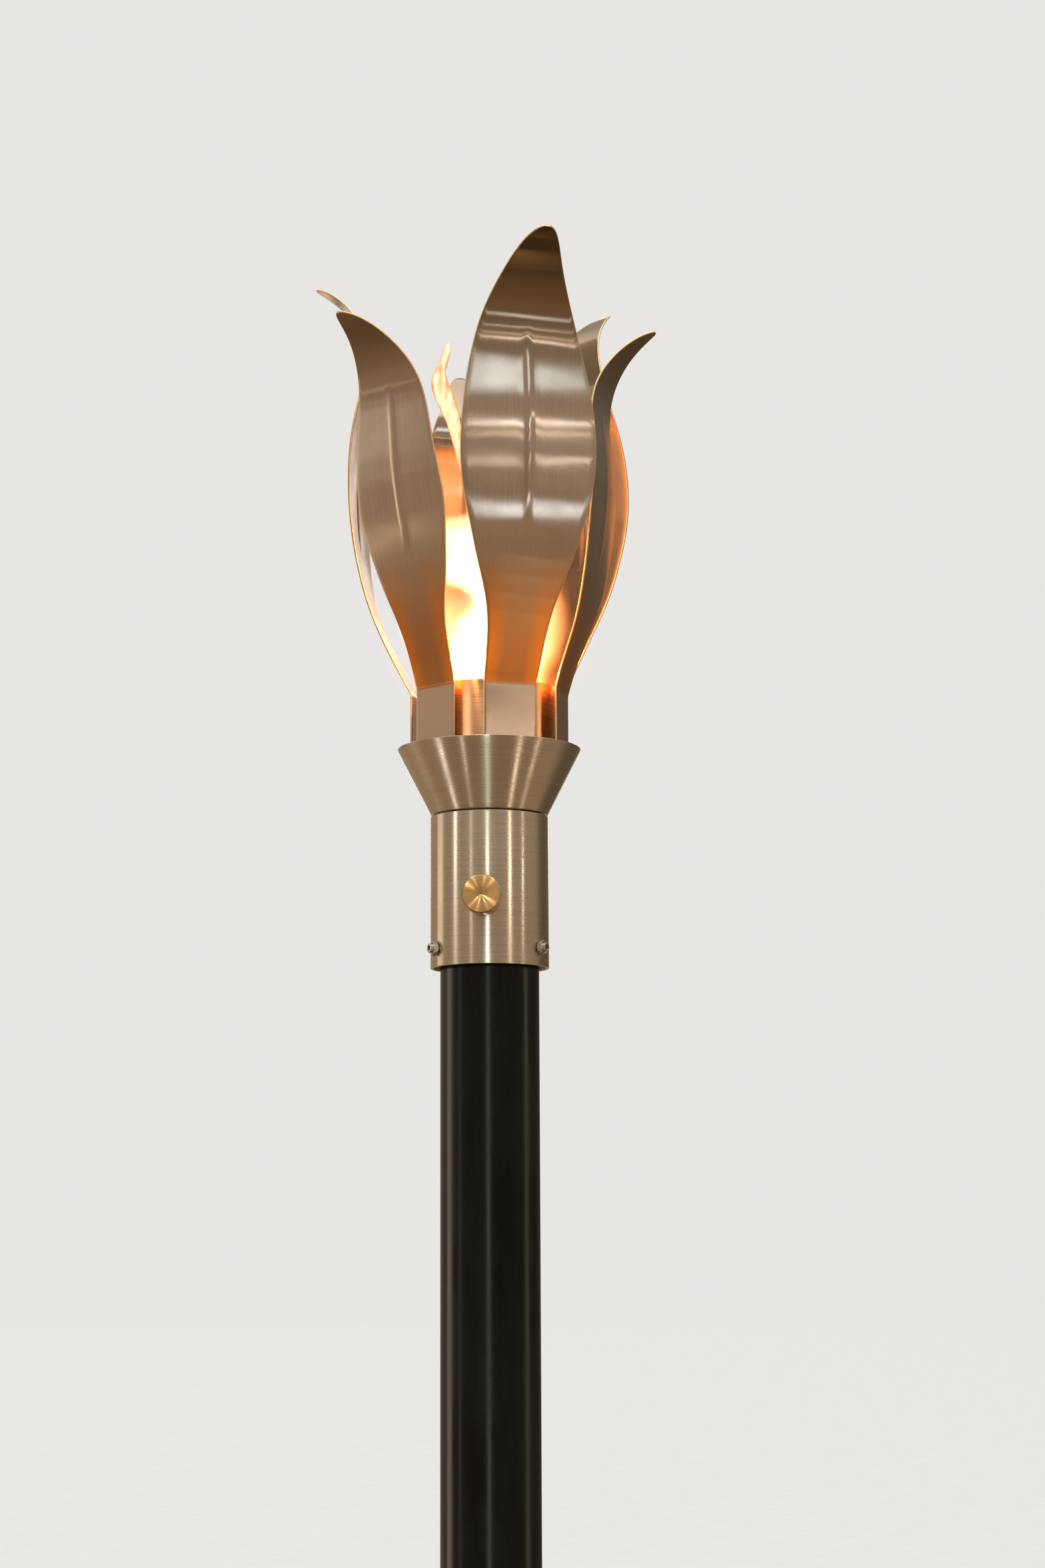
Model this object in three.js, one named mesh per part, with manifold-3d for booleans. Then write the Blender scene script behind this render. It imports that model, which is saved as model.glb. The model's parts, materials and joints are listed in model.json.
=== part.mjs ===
// Gas garden torch, modelled in millimetres with +Z up.
// Six bent stainless petals stand round a burner cup. The cup, a flared collar and a valve sleeve
// make up the head, which three set screws clamp on a black round post with a bolt-down base plate.
// The origin is the centre of the base plate's underside, and the valve knob faces -Y.
import * as THREE from "three";
import { mergeVertices } from "three/addons/utils/BufferGeometryUtils.js";
import Module from "manifold-3d";

const wasm = await Module();
wasm.setup();

// ---------------------------------------------------------------- driving dimensions

const GAP = 0.3;                // clearance between pieces that touch
const SHEET = 1.2;              // thickness of the petals, collar and cup
const ROUND = 40;               // facets round a large tube
const SMALL = 16;               // facets round a small turned piece
const CLEAR = 3;                // how far a cutting tool runs past the wall it goes through

const PLATE = { size: 280, thick: 10, corner: 14, anchorSpacing: 230, anchorRadius: 6.5 };
const POST = { radius: 31.75, wall: 3, top: 1829 };
const WELD_LEG = 6;
const INLET = {
  threadRadius: 10, collarRadius: 15, collarHeight: 12, boreRadius: 7, bottom: 1, top: 34,
};
const RISER = { radius: 7.5, wall: 1.5, rise: 6 };
const UNION_NUT = { acrossFlats: 26, lowerThread: 9, upperThread: 14, cap: 5 };

// Heights from here on are measured from the sleeve's bottom edge.
const SLEEVE = { radius: 38.1, wall: 2, height: 98, overlap: 26 };
const SCREW = {
  radius: 3, length: 11.4, height: 11.5, azimuths: [63, 183, 303], chamfer: 0.8,
  socketFlats: 3.2, socketDepth: 3,
};
const SCREW_NUT = { acrossCorners: 9.6, thick: 3 };
const SEAT = { thick: 4, notches: 6, notchWidth: 14, notchDepth: 8, overhang: 0.6 };
const VALVE = {
  height: 42.5, bodyRadius: 10, bodyHalf: 12, bossRadius: 8, bossReach: 24, gasway: 3,
  inletRadius: 8, inletBottom: 10,
};
const PLUG = { radius: 5, back: 7, front: 11, port: 2.6 };
const BONNET = { tail: 13, radius: 5.5, shoulderGap: 1.3, nutRadius: 8.1, nutThick: 2.6 };
const SLEEVE_HOLE = 6;          // radius of the hole that the valve's bonnet comes out of
const STEM_RADIUS = 3;
const KNOB = { radius: 12.4, back: 41.6, front: 52, chamfer: 0.8, faceThick: 3 };
const KNOB_SCREW = { radius: 1.4, holeRadius: 1.6, sunk: 1, reach: 45.8 };
const ORIFICE = { radius: 5.5, jet: 0.9, tipRadius: 3, shoulder: 6, cone: 2, tip: 6 };
const MIXER = {
  barrelRadius: 12, wall: 2, pipeRadius: 8, bottom: 63, shoulder: 77, cone: 3, top: 134, bore: 5.5,
};
const AIR_PORT = { radius: 3.2, height: 70, count: 4 };
const SHUTTER_WALL = 1.5;
const LOCK_NUT = { radius: 15, thick: 6 };
const HEAD_PLATE = { bottom: 90, rimDrop: 1, rimWidth: 2 };
const COLLAR = { bottom: 99, footRadius: 37.5, rimHeight: 142.5, rimRadius: 59.7 };
const SPACER_RADIUS = 14;
const CUP = { radius: 44.45, bottom: 117, top: 181.5 };
const BURNER = {
  radius: 34, bottom: 134.3, top: 150, wall: 2, flare: 6, ports: 8, portRadius: 2.5,
  portCircle: 24.5,
};

const TAB = {
  bottom: 129, halfWidth: 17.3, corner: 3, reach: 48.4, bend: 178.5, rivetHeight: 136,
};
const RING = { bottom: 130.5, top: 141 };
const RIVET = {
  holeRadius: 2.3, shankRadius: 2, headRadius: 4.2, headRise: 2, tailRadius: 3.4, tailLength: 1.6,
};
const RIB = { height: 1.2, halfWidth: 3, start: 0.32, end: 0.77 };
const DISH = 1.5;               // how far a petal's long edges are set back from its middle

// A petal blade runs from the bend at station 0 to the tip at station 1. Lean is its angle from
// upright in degrees, positive outward.
const LEAN_STATIONS = [0, 0.12, 0.3, 0.5, 0.7, 0.86, 1];
const WIDTH_STATIONS = [0, 0.15, 0.3, 0.45, 0.6, 0.75, 0.9, 1];
const TALL = {
  length: 304,
  lean: [30, 26.5, 11.5, -0.4, -8.3, 29, 68],
  halfWidth: [TAB.halfWidth, 21.3, 34.5, 44.2, 42.5, 33.5, 19.5, 13],
};
const SHORT = {
  length: 258,
  lean: [13.5, 20.5, 11.5, 3.5, -4.5, 33, 65],
  halfWidth: [TAB.halfWidth, 20, 30, 36.6, 33.2, 26.9, 16, 10.5],
};
// The stations of a blade's rows, closer together where it curls and where its tip is rounded.
const ROW_STATIONS = [
  0.05, 0.12, 0.19, 0.26, 0.34, 0.42, 0.5, 0.57, 0.64, 0.7, 0.755, 0.805, 0.855, 0.9, 0.94, 0.97,
  0.995,
];
// Hand-bent petals differ a little. Each has its own place round the cup, its own extra curl at the
// tip and its own sway, the turn round the axis that the blade makes above the bend, in degrees.
const PETALS = [
  { shape: TALL, azimuth: 22, curl: 7, sway: 0 },
  { shape: SHORT, azimuth: 82, curl: 1.5, sway: 0 },
  { shape: TALL, azimuth: 138, curl: -4, sway: -1 },
  { shape: SHORT, azimuth: 198, curl: -8, sway: 0 },
  { shape: TALL, azimuth: 266, curl: -1.5, sway: 4 },
  { shape: SHORT, azimuth: 321, curl: 16, sway: 3 },
];

// ---------------------------------------------------------------- materials

const metal = (color, roughness, metalness = 1) =>
  new THREE.MeshStandardMaterial({ color, roughness, metalness });

const petalSteel = () => metal(0xb5a18c, 0.34);
const brushedSteel = () => metal(0xb3a79a, 0.3);
const screwSteel = () => metal(0x9c9a96, 0.25);
const blackCoat = () => metal(0x0b0d0e, 0.32, 0.1);
const brass = () => metal(0xb0914a, 0.28);
const zincSteel = () => metal(0x8d9092, 0.45);

// ---------------------------------------------------------------- shape helpers

const radians = THREE.MathUtils.degToRad;

// A solid turned about Z. The outline is [radius, height] points: it either starts and ends on the
// axis or is closed here by going back to its first point.
function turned(outline, facets = ROUND) {
  const points = outline.map(([radius, height]) => new THREE.Vector2(radius, height));
  if (THREE.ShapeUtils.area(points) < 0) points.reverse();
  const onAxis = outline[0][0] === 0;
  if (!onAxis) points.push(points[0].clone());
  return new THREE.LatheGeometry(points, facets).rotateX(Math.PI / 2);
}

function tube(outerRadius, innerRadius, bottom, top, facets = ROUND) {
  return turned(
    [[innerRadius, bottom], [outerRadius, bottom], [outerRadius, top], [innerRadius, top]],
    facets,
  );
}

function rod(radius, bottom, top, facets = SMALL) {
  const length = top - bottom;
  return new THREE.CylinderGeometry(radius, radius, length, facets)
    .rotateX(Math.PI / 2)
    .translate(0, 0, bottom + length / 2);
}

// Turns a piece built along +Z so that it lies along -Y, its height becoming reach from the axis.
const alongFront = (geometry) => geometry.rotateX(Math.PI / 2);

function radialRod(radius, inner, outer, height, azimuth, facets = SMALL) {
  return alongFront(rod(radius, inner, outer, facets))
    .translate(0, 0, height)
    .rotateZ(radians(azimuth));
}

function toSolid(geometry) {
  const bare = geometry.clone();
  bare.deleteAttribute("normal");
  bare.deleteAttribute("uv");
  const merged = mergeVertices(bare, 1e-4);
  const corners = merged.index.array;
  const kept = [];
  for (let i = 0; i < corners.length; i += 3) {
    const [a, b, c] = [corners[i], corners[i + 1], corners[i + 2]];
    if (a !== b && b !== c && c !== a) kept.push(a, b, c);
  }
  return new wasm.Manifold(new wasm.Mesh({
    numProp: 3,
    vertProperties: new Float32Array(merged.attributes.position.array),
    triVerts: new Uint32Array(kept),
  }));
}

function toGeometry(solid) {
  const mesh = solid.getMesh();
  const geometry = new THREE.BufferGeometry();
  geometry.setAttribute("position", new THREE.BufferAttribute(mesh.vertProperties, 3));
  geometry.setIndex(new THREE.BufferAttribute(mesh.triVerts, 1));
  return geometry;
}

function cut(geometry, ...tools) {
  return toGeometry(tools.reduce((solid, tool) => solid.subtract(toSolid(tool)), toSolid(geometry)));
}

function join(first, ...others) {
  return toGeometry(others.reduce((solid, other) => solid.add(toSolid(other)), toSolid(first)));
}

function addPiece(group, name, geometry, material) {
  const mesh = new THREE.Mesh(geometry, material);
  mesh.name = name;
  group.add(mesh);
  return mesh;
}

// ---------------------------------------------------------------- stand: plate, post, gas line

function basePlate() {
  const half = PLATE.size / 2;
  const flat = half - PLATE.corner;
  const outline = new THREE.Shape();
  outline.moveTo(-flat, -half);
  outline.absarc(flat, -flat, PLATE.corner, -Math.PI / 2, 0);
  outline.absarc(flat, flat, PLATE.corner, 0, Math.PI / 2);
  outline.absarc(-flat, flat, PLATE.corner, Math.PI / 2, Math.PI);
  outline.absarc(-flat, -flat, PLATE.corner, Math.PI, Math.PI * 1.5);
  const holeAt = (x, y, radius) => {
    const hole = new THREE.Path();
    hole.absarc(x, y, radius, 0, Math.PI * 2, true);
    outline.holes.push(hole);
  };
  const offset = PLATE.anchorSpacing / 2;
  for (const x of [-offset, offset]) {
    for (const y of [-offset, offset]) holeAt(x, y, PLATE.anchorRadius);
  }
  holeAt(0, 0, INLET.threadRadius + 2 * GAP);
  return new THREE.ExtrudeGeometry(outline, {
    depth: PLATE.thick, bevelEnabled: false, curveSegments: 8,
  });
}

function postWeld() {
  const inner = POST.radius + GAP;
  const foot = PLATE.thick + GAP;
  return turned([[inner, foot], [inner + WELD_LEG, foot], [inner, foot + WELD_LEG]]);
}

function inletFitting() {
  const collarBottom = PLATE.thick + GAP;
  const collarTop = collarBottom + INLET.collarHeight;
  return turned([
    [INLET.boreRadius, INLET.bottom], [INLET.threadRadius, INLET.bottom],
    [INLET.threadRadius, collarBottom],
    [INLET.collarRadius, collarBottom], [INLET.collarRadius, collarTop],
    [INLET.threadRadius, collarTop], [INLET.threadRadius, INLET.top],
    [RISER.radius - RISER.wall, INLET.top], [RISER.radius - RISER.wall, collarTop],
    [INLET.boreRadius, collarBottom],
  ], SMALL);
}

// A hexagon nut with a threaded end of one bore and a smaller hole that passes the riser.
function unionNut(threadBottom, threadTop, riserEnd) {
  const hexRadius = UNION_NUT.acrossFlats / Math.sqrt(3);
  const low = Math.min(threadBottom, riserEnd);
  const high = Math.max(threadTop, riserEnd);
  const thread = rod(INLET.threadRadius + GAP, threadBottom - 1, threadTop + 1);
  const passage = rod(RISER.radius + GAP, low - 1, high + 1);
  return cut(rod(hexRadius, low, high, 6), thread, passage);
}

function addStand(torch, headHeight) {
  const riserBottom = INLET.top + GAP;
  const riserTop = headHeight + RISER.rise;
  addPiece(torch, "base_plate", basePlate(), blackCoat());
  addPiece(torch, "post", tube(POST.radius, POST.radius - POST.wall, PLATE.thick + GAP, POST.top),
    blackCoat());
  addPiece(torch, "post_weld", postWeld(), blackCoat());
  addPiece(torch, "inlet_fitting", inletFitting(), brass());
  addPiece(torch, "riser_lower_nut",
    unionNut(INLET.top - UNION_NUT.lowerThread, INLET.top, riserBottom + UNION_NUT.cap), brass());
  addPiece(torch, "gas_riser",
    tube(RISER.radius, RISER.radius - RISER.wall, riserBottom, riserTop, SMALL), zincSteel());
  addPiece(torch, "riser_upper_nut",
    unionNut(riserTop, riserTop + UNION_NUT.upperThread, riserTop - UNION_NUT.cap), brass());
}

// ---------------------------------------------------------------- sleeve and set screws

function valveSleeve() {
  const inner = SLEEVE.radius - SLEEVE.wall;
  const screwHoles = SCREW.azimuths.map((azimuth) =>
    radialRod(SCREW.radius + GAP, inner - CLEAR, SLEEVE.radius + CLEAR, SCREW.height, azimuth));
  const valveHole =
    radialRod(SLEEVE_HOLE, inner - CLEAR, SLEEVE.radius + CLEAR, VALVE.height, 0);
  return cut(tube(SLEEVE.radius, inner, 0, SLEEVE.height), valveHole, ...screwHoles);
}

// The disc that rests on the post's top. Notches in its edge let air up into the sleeve.
function seatDisc() {
  const bottom = SLEEVE.overlap + GAP;
  const outer = SLEEVE.radius - SLEEVE.wall - GAP;
  const disc = tube(outer, VALVE.bodyRadius + 2, bottom, bottom + SEAT.thick);
  const notches = [];
  for (let i = 0; i < SEAT.notches; i += 1) {
    const notch = new THREE.BoxGeometry(SEAT.notchWidth, SEAT.notchDepth, SEAT.thick + 2 * CLEAR)
      .translate(0, -(POST.radius + SEAT.overhang + SEAT.notchDepth / 2), bottom + SEAT.thick / 2)
      .rotateZ(radians(((i + 0.5) * 360) / SEAT.notches));
    notches.push(notch);
  }
  return cut(disc, ...notches);
}

function setScrew(azimuth) {
  const tip = POST.radius + GAP;
  const end = tip + SCREW.length;
  const { chamfer } = SCREW;
  const body = turned([
    [0, tip], [SCREW.radius - chamfer, tip], [SCREW.radius, tip + chamfer],
    [SCREW.radius, end - chamfer / 2], [SCREW.radius - chamfer / 2, end], [0, end],
  ], SMALL);
  const socket = rod(SCREW.socketFlats / Math.sqrt(3), end - SCREW.socketDepth, end + CLEAR, 6);
  return alongFront(cut(body, socket)).translate(0, 0, SCREW.height).rotateZ(radians(azimuth));
}

// A hexagon nut welded to the outside of the sleeve, one corner up, gives the screw its thread.
function screwNut(azimuth) {
  const inner = SLEEVE.radius + GAP;
  const outer = inner + SCREW_NUT.thick;
  const nut = rod(SCREW_NUT.acrossCorners / 2, inner, outer, 6);
  const hole = rod(SCREW.radius + GAP, inner - CLEAR, outer + CLEAR);
  return alongFront(cut(nut, hole)).translate(0, 0, SCREW.height).rotateZ(radians(azimuth));
}

// ---------------------------------------------------------------- gas valve and knob

const VALVE_BOTTOM = VALVE.height - VALVE.bodyHalf;
const VALVE_TOP = VALVE.height + VALVE.bodyHalf;

function valveBody() {
  const inletBoss = rod(VALVE.inletRadius, VALVE.inletBottom, VALVE_BOTTOM + 1);
  const barrel = rod(VALVE.bodyRadius, VALVE_BOTTOM, VALVE_TOP, 24);
  const boss = radialRod(VALVE.bossRadius, 0, VALVE.bossReach, VALVE.height, 0);
  const gasway = rod(VALVE.gasway, VALVE.inletBottom - CLEAR, VALVE_TOP + CLEAR, 12);
  const plugBore =
    radialRod(PLUG.radius + GAP, -PLUG.back - 1, VALVE.bossReach + CLEAR, VALVE.height, 0);
  return cut(join(barrel, inletBoss, boss), gasway, plugBore);
}

function valvePlug() {
  const half = PLUG.radius + CLEAR;
  const port = rod(PLUG.port, VALVE.height - half, VALVE.height + half, 12);
  return cut(radialRod(PLUG.radius, -PLUG.back, PLUG.front, VALVE.height, 0), port);
}

function valveBonnet() {
  const { tail, radius } = BONNET;
  const shoulder = SLEEVE.radius - SLEEVE.wall - BONNET.shoulderGap;
  const bore = STEM_RADIUS + GAP;
  return alongFront(turned([
    [bore, tail], [PLUG.radius, tail], [PLUG.radius, VALVE.bossReach + GAP],
    [VALVE.bossRadius, VALVE.bossReach + GAP], [VALVE.bossRadius, shoulder],
    [radius, shoulder], [radius, KNOB.back - GAP], [bore, KNOB.back - GAP],
  ], SMALL)).translate(0, 0, VALVE.height);
}

function bonnetNut() {
  const back = SLEEVE.radius + GAP;
  const front = back + BONNET.nutThick;
  const nut = rod(BONNET.nutRadius, back, front, 6);
  const hole = rod(BONNET.radius + GAP, back - CLEAR, front + CLEAR);
  return alongFront(cut(nut, hole)).translate(0, 0, VALVE.height);
}

const stemEnd = KNOB.front - KNOB.faceThick;

function controlKnob() {
  const { radius, back, front, chamfer } = KNOB;
  const body = turned([
    [0, back], [radius - chamfer / 2, back], [radius, back + chamfer / 2],
    [radius, front - chamfer], [radius - chamfer, front], [0, front],
  ], 40);
  const socket = rod(STEM_RADIUS + GAP, back - CLEAR, stemEnd + GAP);
  const screwHole = rod(KNOB_SCREW.holeRadius, 0, radius + CLEAR, 10)
    .rotateX(-Math.PI / 2)
    .translate(0, 0, KNOB_SCREW.reach);
  return alongFront(cut(body, socket, screwHole)).translate(0, 0, VALVE.height);
}

function knobScrew() {
  const { radius, reach, sunk } = KNOB_SCREW;
  return rod(radius, STEM_RADIUS + GAP, KNOB.radius - sunk, 10)
    .translate(0, -reach, VALVE.height);
}

// ---------------------------------------------------------------- orifice, mixer, burner

function gasOrifice() {
  const { radius, jet, tipRadius } = ORIFICE;
  const foot = VALVE_TOP + GAP;
  const shoulder = foot + ORIFICE.shoulder;
  const neck = shoulder + ORIFICE.cone;
  const top = neck + ORIFICE.tip;
  return turned([
    [jet, foot], [radius, foot], [radius, shoulder], [tipRadius, neck], [tipRadius, top], [jet, top],
  ], 12);
}

function venturiMixer() {
  const { barrelRadius, wall, pipeRadius, bottom, shoulder, cone, top, bore } = MIXER;
  const inside = barrelRadius - wall;
  const body = turned([
    [inside, bottom], [barrelRadius, bottom], [barrelRadius, shoulder],
    [pipeRadius, shoulder + cone], [pipeRadius, top], [bore, top], [bore, shoulder + cone],
    [inside, shoulder - cone],
  ], 24);
  return cut(body, ...airPortTools(inside - CLEAR, barrelRadius + CLEAR));
}

function airShutter() {
  const inner = MIXER.barrelRadius + GAP;
  const outer = inner + SHUTTER_WALL;
  const ring = tube(outer, inner, MIXER.bottom, MIXER.shoulder, 24);
  return cut(ring, ...airPortTools(inner - CLEAR, outer + CLEAR));
}

function airPortTools(inner, outer) {
  const ports = [];
  for (let i = 0; i < AIR_PORT.count; i += 1) {
    const azimuth = (i * 360) / AIR_PORT.count;
    ports.push(radialRod(AIR_PORT.radius, inner, outer, AIR_PORT.height, azimuth, 12));
  }
  return ports;
}

const pipeHole = MIXER.pipeRadius + GAP;

function lockNut(bottom, top) {
  return cut(rod(LOCK_NUT.radius, bottom, top, 6), rod(pipeHole, bottom - CLEAR, top + CLEAR));
}

// The disc that closes the sleeve's top. Its raised middle leaves a narrow groove under the collar.
function headPlate() {
  const { bottom, rimDrop, rimWidth } = HEAD_PLATE;
  const outer = SLEEVE.radius - SLEEVE.wall - GAP;
  const rim = SLEEVE.height - rimDrop;
  const top = COLLAR.bottom - GAP;
  return turned([
    [pipeHole, bottom], [outer, bottom], [outer, rim], [outer - rimWidth, rim],
    [outer - rimWidth, top], [pipeHole, top],
  ]);
}

function flaredCollar() {
  const { bottom, footRadius, rimHeight, rimRadius } = COLLAR;
  const slope = Math.atan2(rimRadius - footRadius, rimHeight - bottom);
  const side = SHEET / Math.cos(slope);
  return turned([
    [pipeHole, bottom], [footRadius, bottom], [rimRadius, rimHeight],
    [rimRadius - side, rimHeight], [footRadius - side + SHEET / 2, bottom + SHEET],
    [pipeHole, bottom + SHEET],
  ], 56);
}

function burnerCup() {
  const inner = CUP.radius - SHEET;
  const cup = turned([
    [pipeHole, CUP.bottom], [CUP.radius, CUP.bottom], [CUP.radius, CUP.top], [inner, CUP.top],
    [inner, CUP.bottom + SHEET], [pipeHole, CUP.bottom + SHEET],
  ]);
  return cut(cup, ...rivetHoles(inner - CLEAR, CUP.radius + CLEAR));
}

function burnerHead() {
  const { radius, bottom, top, wall, flare, ports, portRadius, portCircle } = BURNER;
  const body = turned([
    [pipeHole, bottom - flare], [pipeHole + wall, bottom - flare], [pipeHole + wall, bottom],
    [radius, bottom + flare], [radius, top], [0, top], [0, top - wall],
    [radius - wall, top - wall], [radius - wall, bottom + flare + wall], [pipeHole, bottom + wall],
  ], 32);
  const flamePorts = [];
  for (let i = 0; i < ports; i += 1) {
    const port = rod(portRadius, top - wall - CLEAR, top + CLEAR, 8)
      .translate(portCircle, 0, 0)
      .rotateZ(radians((i * 360) / ports));
    flamePorts.push(port);
  }
  return cut(body, ...flamePorts);
}

// ---------------------------------------------------------------- petals, ring and rivets

function rivetHoles(inner, outer) {
  return PETALS.map(({ azimuth }) =>
    radialRod(RIVET.holeRadius, inner, outer, TAB.rivetHeight, azimuth, 8));
}

// The band that spaces the petal tabs off the cup.
function petalRing() {
  const ring = tube(TAB.reach - SHEET / 2 - GAP, CUP.radius + GAP, RING.bottom, RING.top);
  return cut(ring, ...rivetHoles(CUP.radius - CLEAR, TAB.reach + CLEAR));
}

function petalRivet(azimuth) {
  const { shankRadius, headRadius, headRise, tailRadius, tailLength } = RIVET;
  const headFace = TAB.reach + SHEET / 2 + GAP;
  const tailFace = CUP.radius - SHEET - GAP;
  const tailEnd = tailFace - tailLength;
  return alongFront(turned([
    [0, tailEnd], [tailRadius * 0.75, tailEnd], [tailRadius, tailFace], [shankRadius, tailFace],
    [shankRadius, headFace], [headRadius, headFace],
    [headRadius * 0.85, headFace + headRise * 0.65], [0, headFace + headRise],
  ], 10)).translate(0, 0, TAB.rivetHeight).rotateZ(radians(azimuth));
}

function sampler(stations, values) {
  const curve = new THREE.CubicInterpolant(stations, values, 1);
  return (station) => curve.evaluate(station)[0];
}

// The tip's rounding: full width along the blade, closing to nothing at station 1.
const tipRounding = (station) => Math.sqrt(Math.max(0, 1 - station ** 14));

// The rows of a petal from the tab's bottom edge to the tip. Each has its distance from the axis,
// height, lean and turn in radians, half width, rib height and dish.
function petalRows({ shape, curl, sway }) {
  const leanAt = sampler(LEAN_STATIONS, shape.lean);
  const halfWidthAt = sampler(WIDTH_STATIONS, shape.halfWidth);
  const tabRow = (height, halfWidth) =>
    ({ reach: TAB.reach, height, lean: 0, turn: 0, halfWidth, rib: 0, dish: 0 });
  const rows = [
    tabRow(TAB.bottom, TAB.halfWidth - TAB.corner),
    tabRow(TAB.bottom + TAB.corner, TAB.halfWidth),
    tabRow(TAB.bend, TAB.halfWidth),
  ];
  const steps = 200;
  const kept = new Set(ROW_STATIONS.map((station) => Math.round(station * steps)));
  let reach = TAB.reach;
  let height = TAB.bend;
  for (let i = 1; i < steps; i += 1) {
    const station = i / steps;
    const lean = radians(leanAt(station) + curl * station);
    reach += (Math.sin(lean) * shape.length) / steps;
    height += (Math.cos(lean) * shape.length) / steps;
    if (!kept.has(i)) continue;
    const fade = THREE.MathUtils.smoothstep(station, RIB.start, RIB.start + 0.1)
      * (1 - THREE.MathUtils.smoothstep(station, RIB.end - 0.1, RIB.end));
    rows.push({
      reach, height, lean,
      turn: radians(sway * THREE.MathUtils.smoothstep(station, 0, 0.3)),
      halfWidth: halfWidthAt(station) * tipRounding(station),
      rib: RIB.height * fade,
      dish: DISH * THREE.MathUtils.smoothstep(station, 0, 0.2),
    });
  }
  return rows;
}

// Across a petal the columns are its edges, two quarter lines and the pressed rib on the middle.
function petalColumns(row) {
  const ribEdge = Math.min(RIB.halfWidth, row.halfWidth * 0.3);
  const quarter = (row.halfWidth + ribEdge) / 2;
  const places = [-row.halfWidth, -quarter, -ribEdge, 0, ribEdge, quarter, row.halfWidth];
  return places.map((across) => {
    const setBack = row.dish * (across / TALL.halfWidth[3]) ** 2;
    const bulge = across === 0 ? row.rib : 0;
    return { across, outward: bulge - setBack };
  });
}

function petal(kind) {
  const rows = petalRows(kind);
  const positions = [];
  const columnCount = petalColumns(rows[0]).length;
  for (const side of [SHEET / 2, -SHEET / 2]) {
    for (const row of rows) {
      for (const { across, outward } of petalColumns(row)) {
        const off = outward + side;
        const distance = row.reach + off * Math.cos(row.lean);
        positions.push(
          across * Math.cos(row.turn) + distance * Math.sin(row.turn),
          across * Math.sin(row.turn) - distance * Math.cos(row.turn),
          row.height - off * Math.sin(row.lean),
        );
      }
    }
  }
  const innerStart = rows.length * columnCount;
  const faces = [];
  const quad = (a, b, c, d) => faces.push(a, b, c, a, c, d);
  for (let r = 0; r < rows.length - 1; r += 1) {
    for (let c = 0; c < columnCount - 1; c += 1) {
      const a = r * columnCount + c;
      const up = a + columnCount;
      quad(a, a + 1, up + 1, up);
      quad(innerStart + a, innerStart + up, innerStart + up + 1, innerStart + a + 1);
    }
    const left = r * columnCount;
    const right = left + columnCount - 1;
    quad(left, left + columnCount, innerStart + left + columnCount, innerStart + left);
    quad(right, innerStart + right, innerStart + right + columnCount, right + columnCount);
  }
  const lastRow = (rows.length - 1) * columnCount;
  for (let c = 0; c < columnCount - 1; c += 1) {
    quad(c, innerStart + c, innerStart + c + 1, c + 1);
    const tip = lastRow + c;
    quad(tip, tip + 1, innerStart + tip + 1, innerStart + tip);
  }
  const blank = new THREE.BufferGeometry();
  blank.setAttribute("position", new THREE.Float32BufferAttribute(positions, 3));
  blank.setIndex(faces);
  const hole = radialRod(
    RIVET.holeRadius, TAB.reach - CLEAR, TAB.reach + CLEAR, TAB.rivetHeight, 0, 8);
  return cut(blank, hole).rotateZ(radians(kind.azimuth));
}

// ---------------------------------------------------------------- head

function addHead(head) {
  addPiece(head, "valve_sleeve", valveSleeve(), brushedSteel());
  addPiece(head, "seat_disc", seatDisc(), zincSteel());
  SCREW.azimuths.forEach((azimuth, i) => {
    addPiece(head, `set_screw_${i + 1}`, setScrew(azimuth), screwSteel());
    addPiece(head, `set_screw_nut_${i + 1}`, screwNut(azimuth), zincSteel());
  });

  addPiece(head, "valve_body", valveBody(), brass());
  addPiece(head, "valve_plug", valvePlug(), brass());
  addPiece(head, "valve_stem",
    radialRod(STEM_RADIUS, PLUG.front + GAP, stemEnd, VALVE.height, 0), brass());
  addPiece(head, "valve_bonnet", valveBonnet(), brass());
  addPiece(head, "bonnet_nut", bonnetNut(), brass());
  addPiece(head, "control_knob", controlKnob(), brass());
  addPiece(head, "knob_screw", knobScrew(), screwSteel());

  addPiece(head, "gas_orifice", gasOrifice(), brass());
  addPiece(head, "venturi_mixer", venturiMixer(), brass());
  addPiece(head, "air_shutter", airShutter(), zincSteel());
  addPiece(head, "mixer_lower_nut",
    lockNut(HEAD_PLATE.bottom - LOCK_NUT.thick, HEAD_PLATE.bottom - GAP), zincSteel());
  addPiece(head, "head_plate", headPlate(), brushedSteel());
  addPiece(head, "flared_collar", flaredCollar(), brushedSteel());
  addPiece(head, "cup_spacer", tube(SPACER_RADIUS, pipeHole, COLLAR.bottom + SHEET + GAP,
    CUP.bottom - GAP, SMALL), zincSteel());
  addPiece(head, "burner_cup", burnerCup(), brushedSteel());
  const upperNutFoot = CUP.bottom + SHEET + GAP;
  addPiece(head, "mixer_upper_nut", lockNut(upperNutFoot, upperNutFoot + LOCK_NUT.thick),
    zincSteel());
  addPiece(head, "burner_head", burnerHead(), brushedSteel());

  addPiece(head, "petal_ring", petalRing(), brushedSteel());
  PETALS.forEach((kind, i) => {
    addPiece(head, `petal_${i + 1}`, petal(kind), petalSteel());
    addPiece(head, `petal_rivet_${i + 1}`, petalRivet(kind.azimuth), screwSteel());
  });
}

const torch = new THREE.Group();
const head = new THREE.Group();
head.position.z = POST.top - SLEEVE.overlap;
torch.add(head);
addStand(torch, head.position.z);
addHead(head);

export default torch;
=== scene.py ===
import json
from math import acos, ceil, cos, hypot, pi, radians, sin, sqrt, tan

import bpy
import numpy as np
from mathutils import Matrix, Vector

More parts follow.
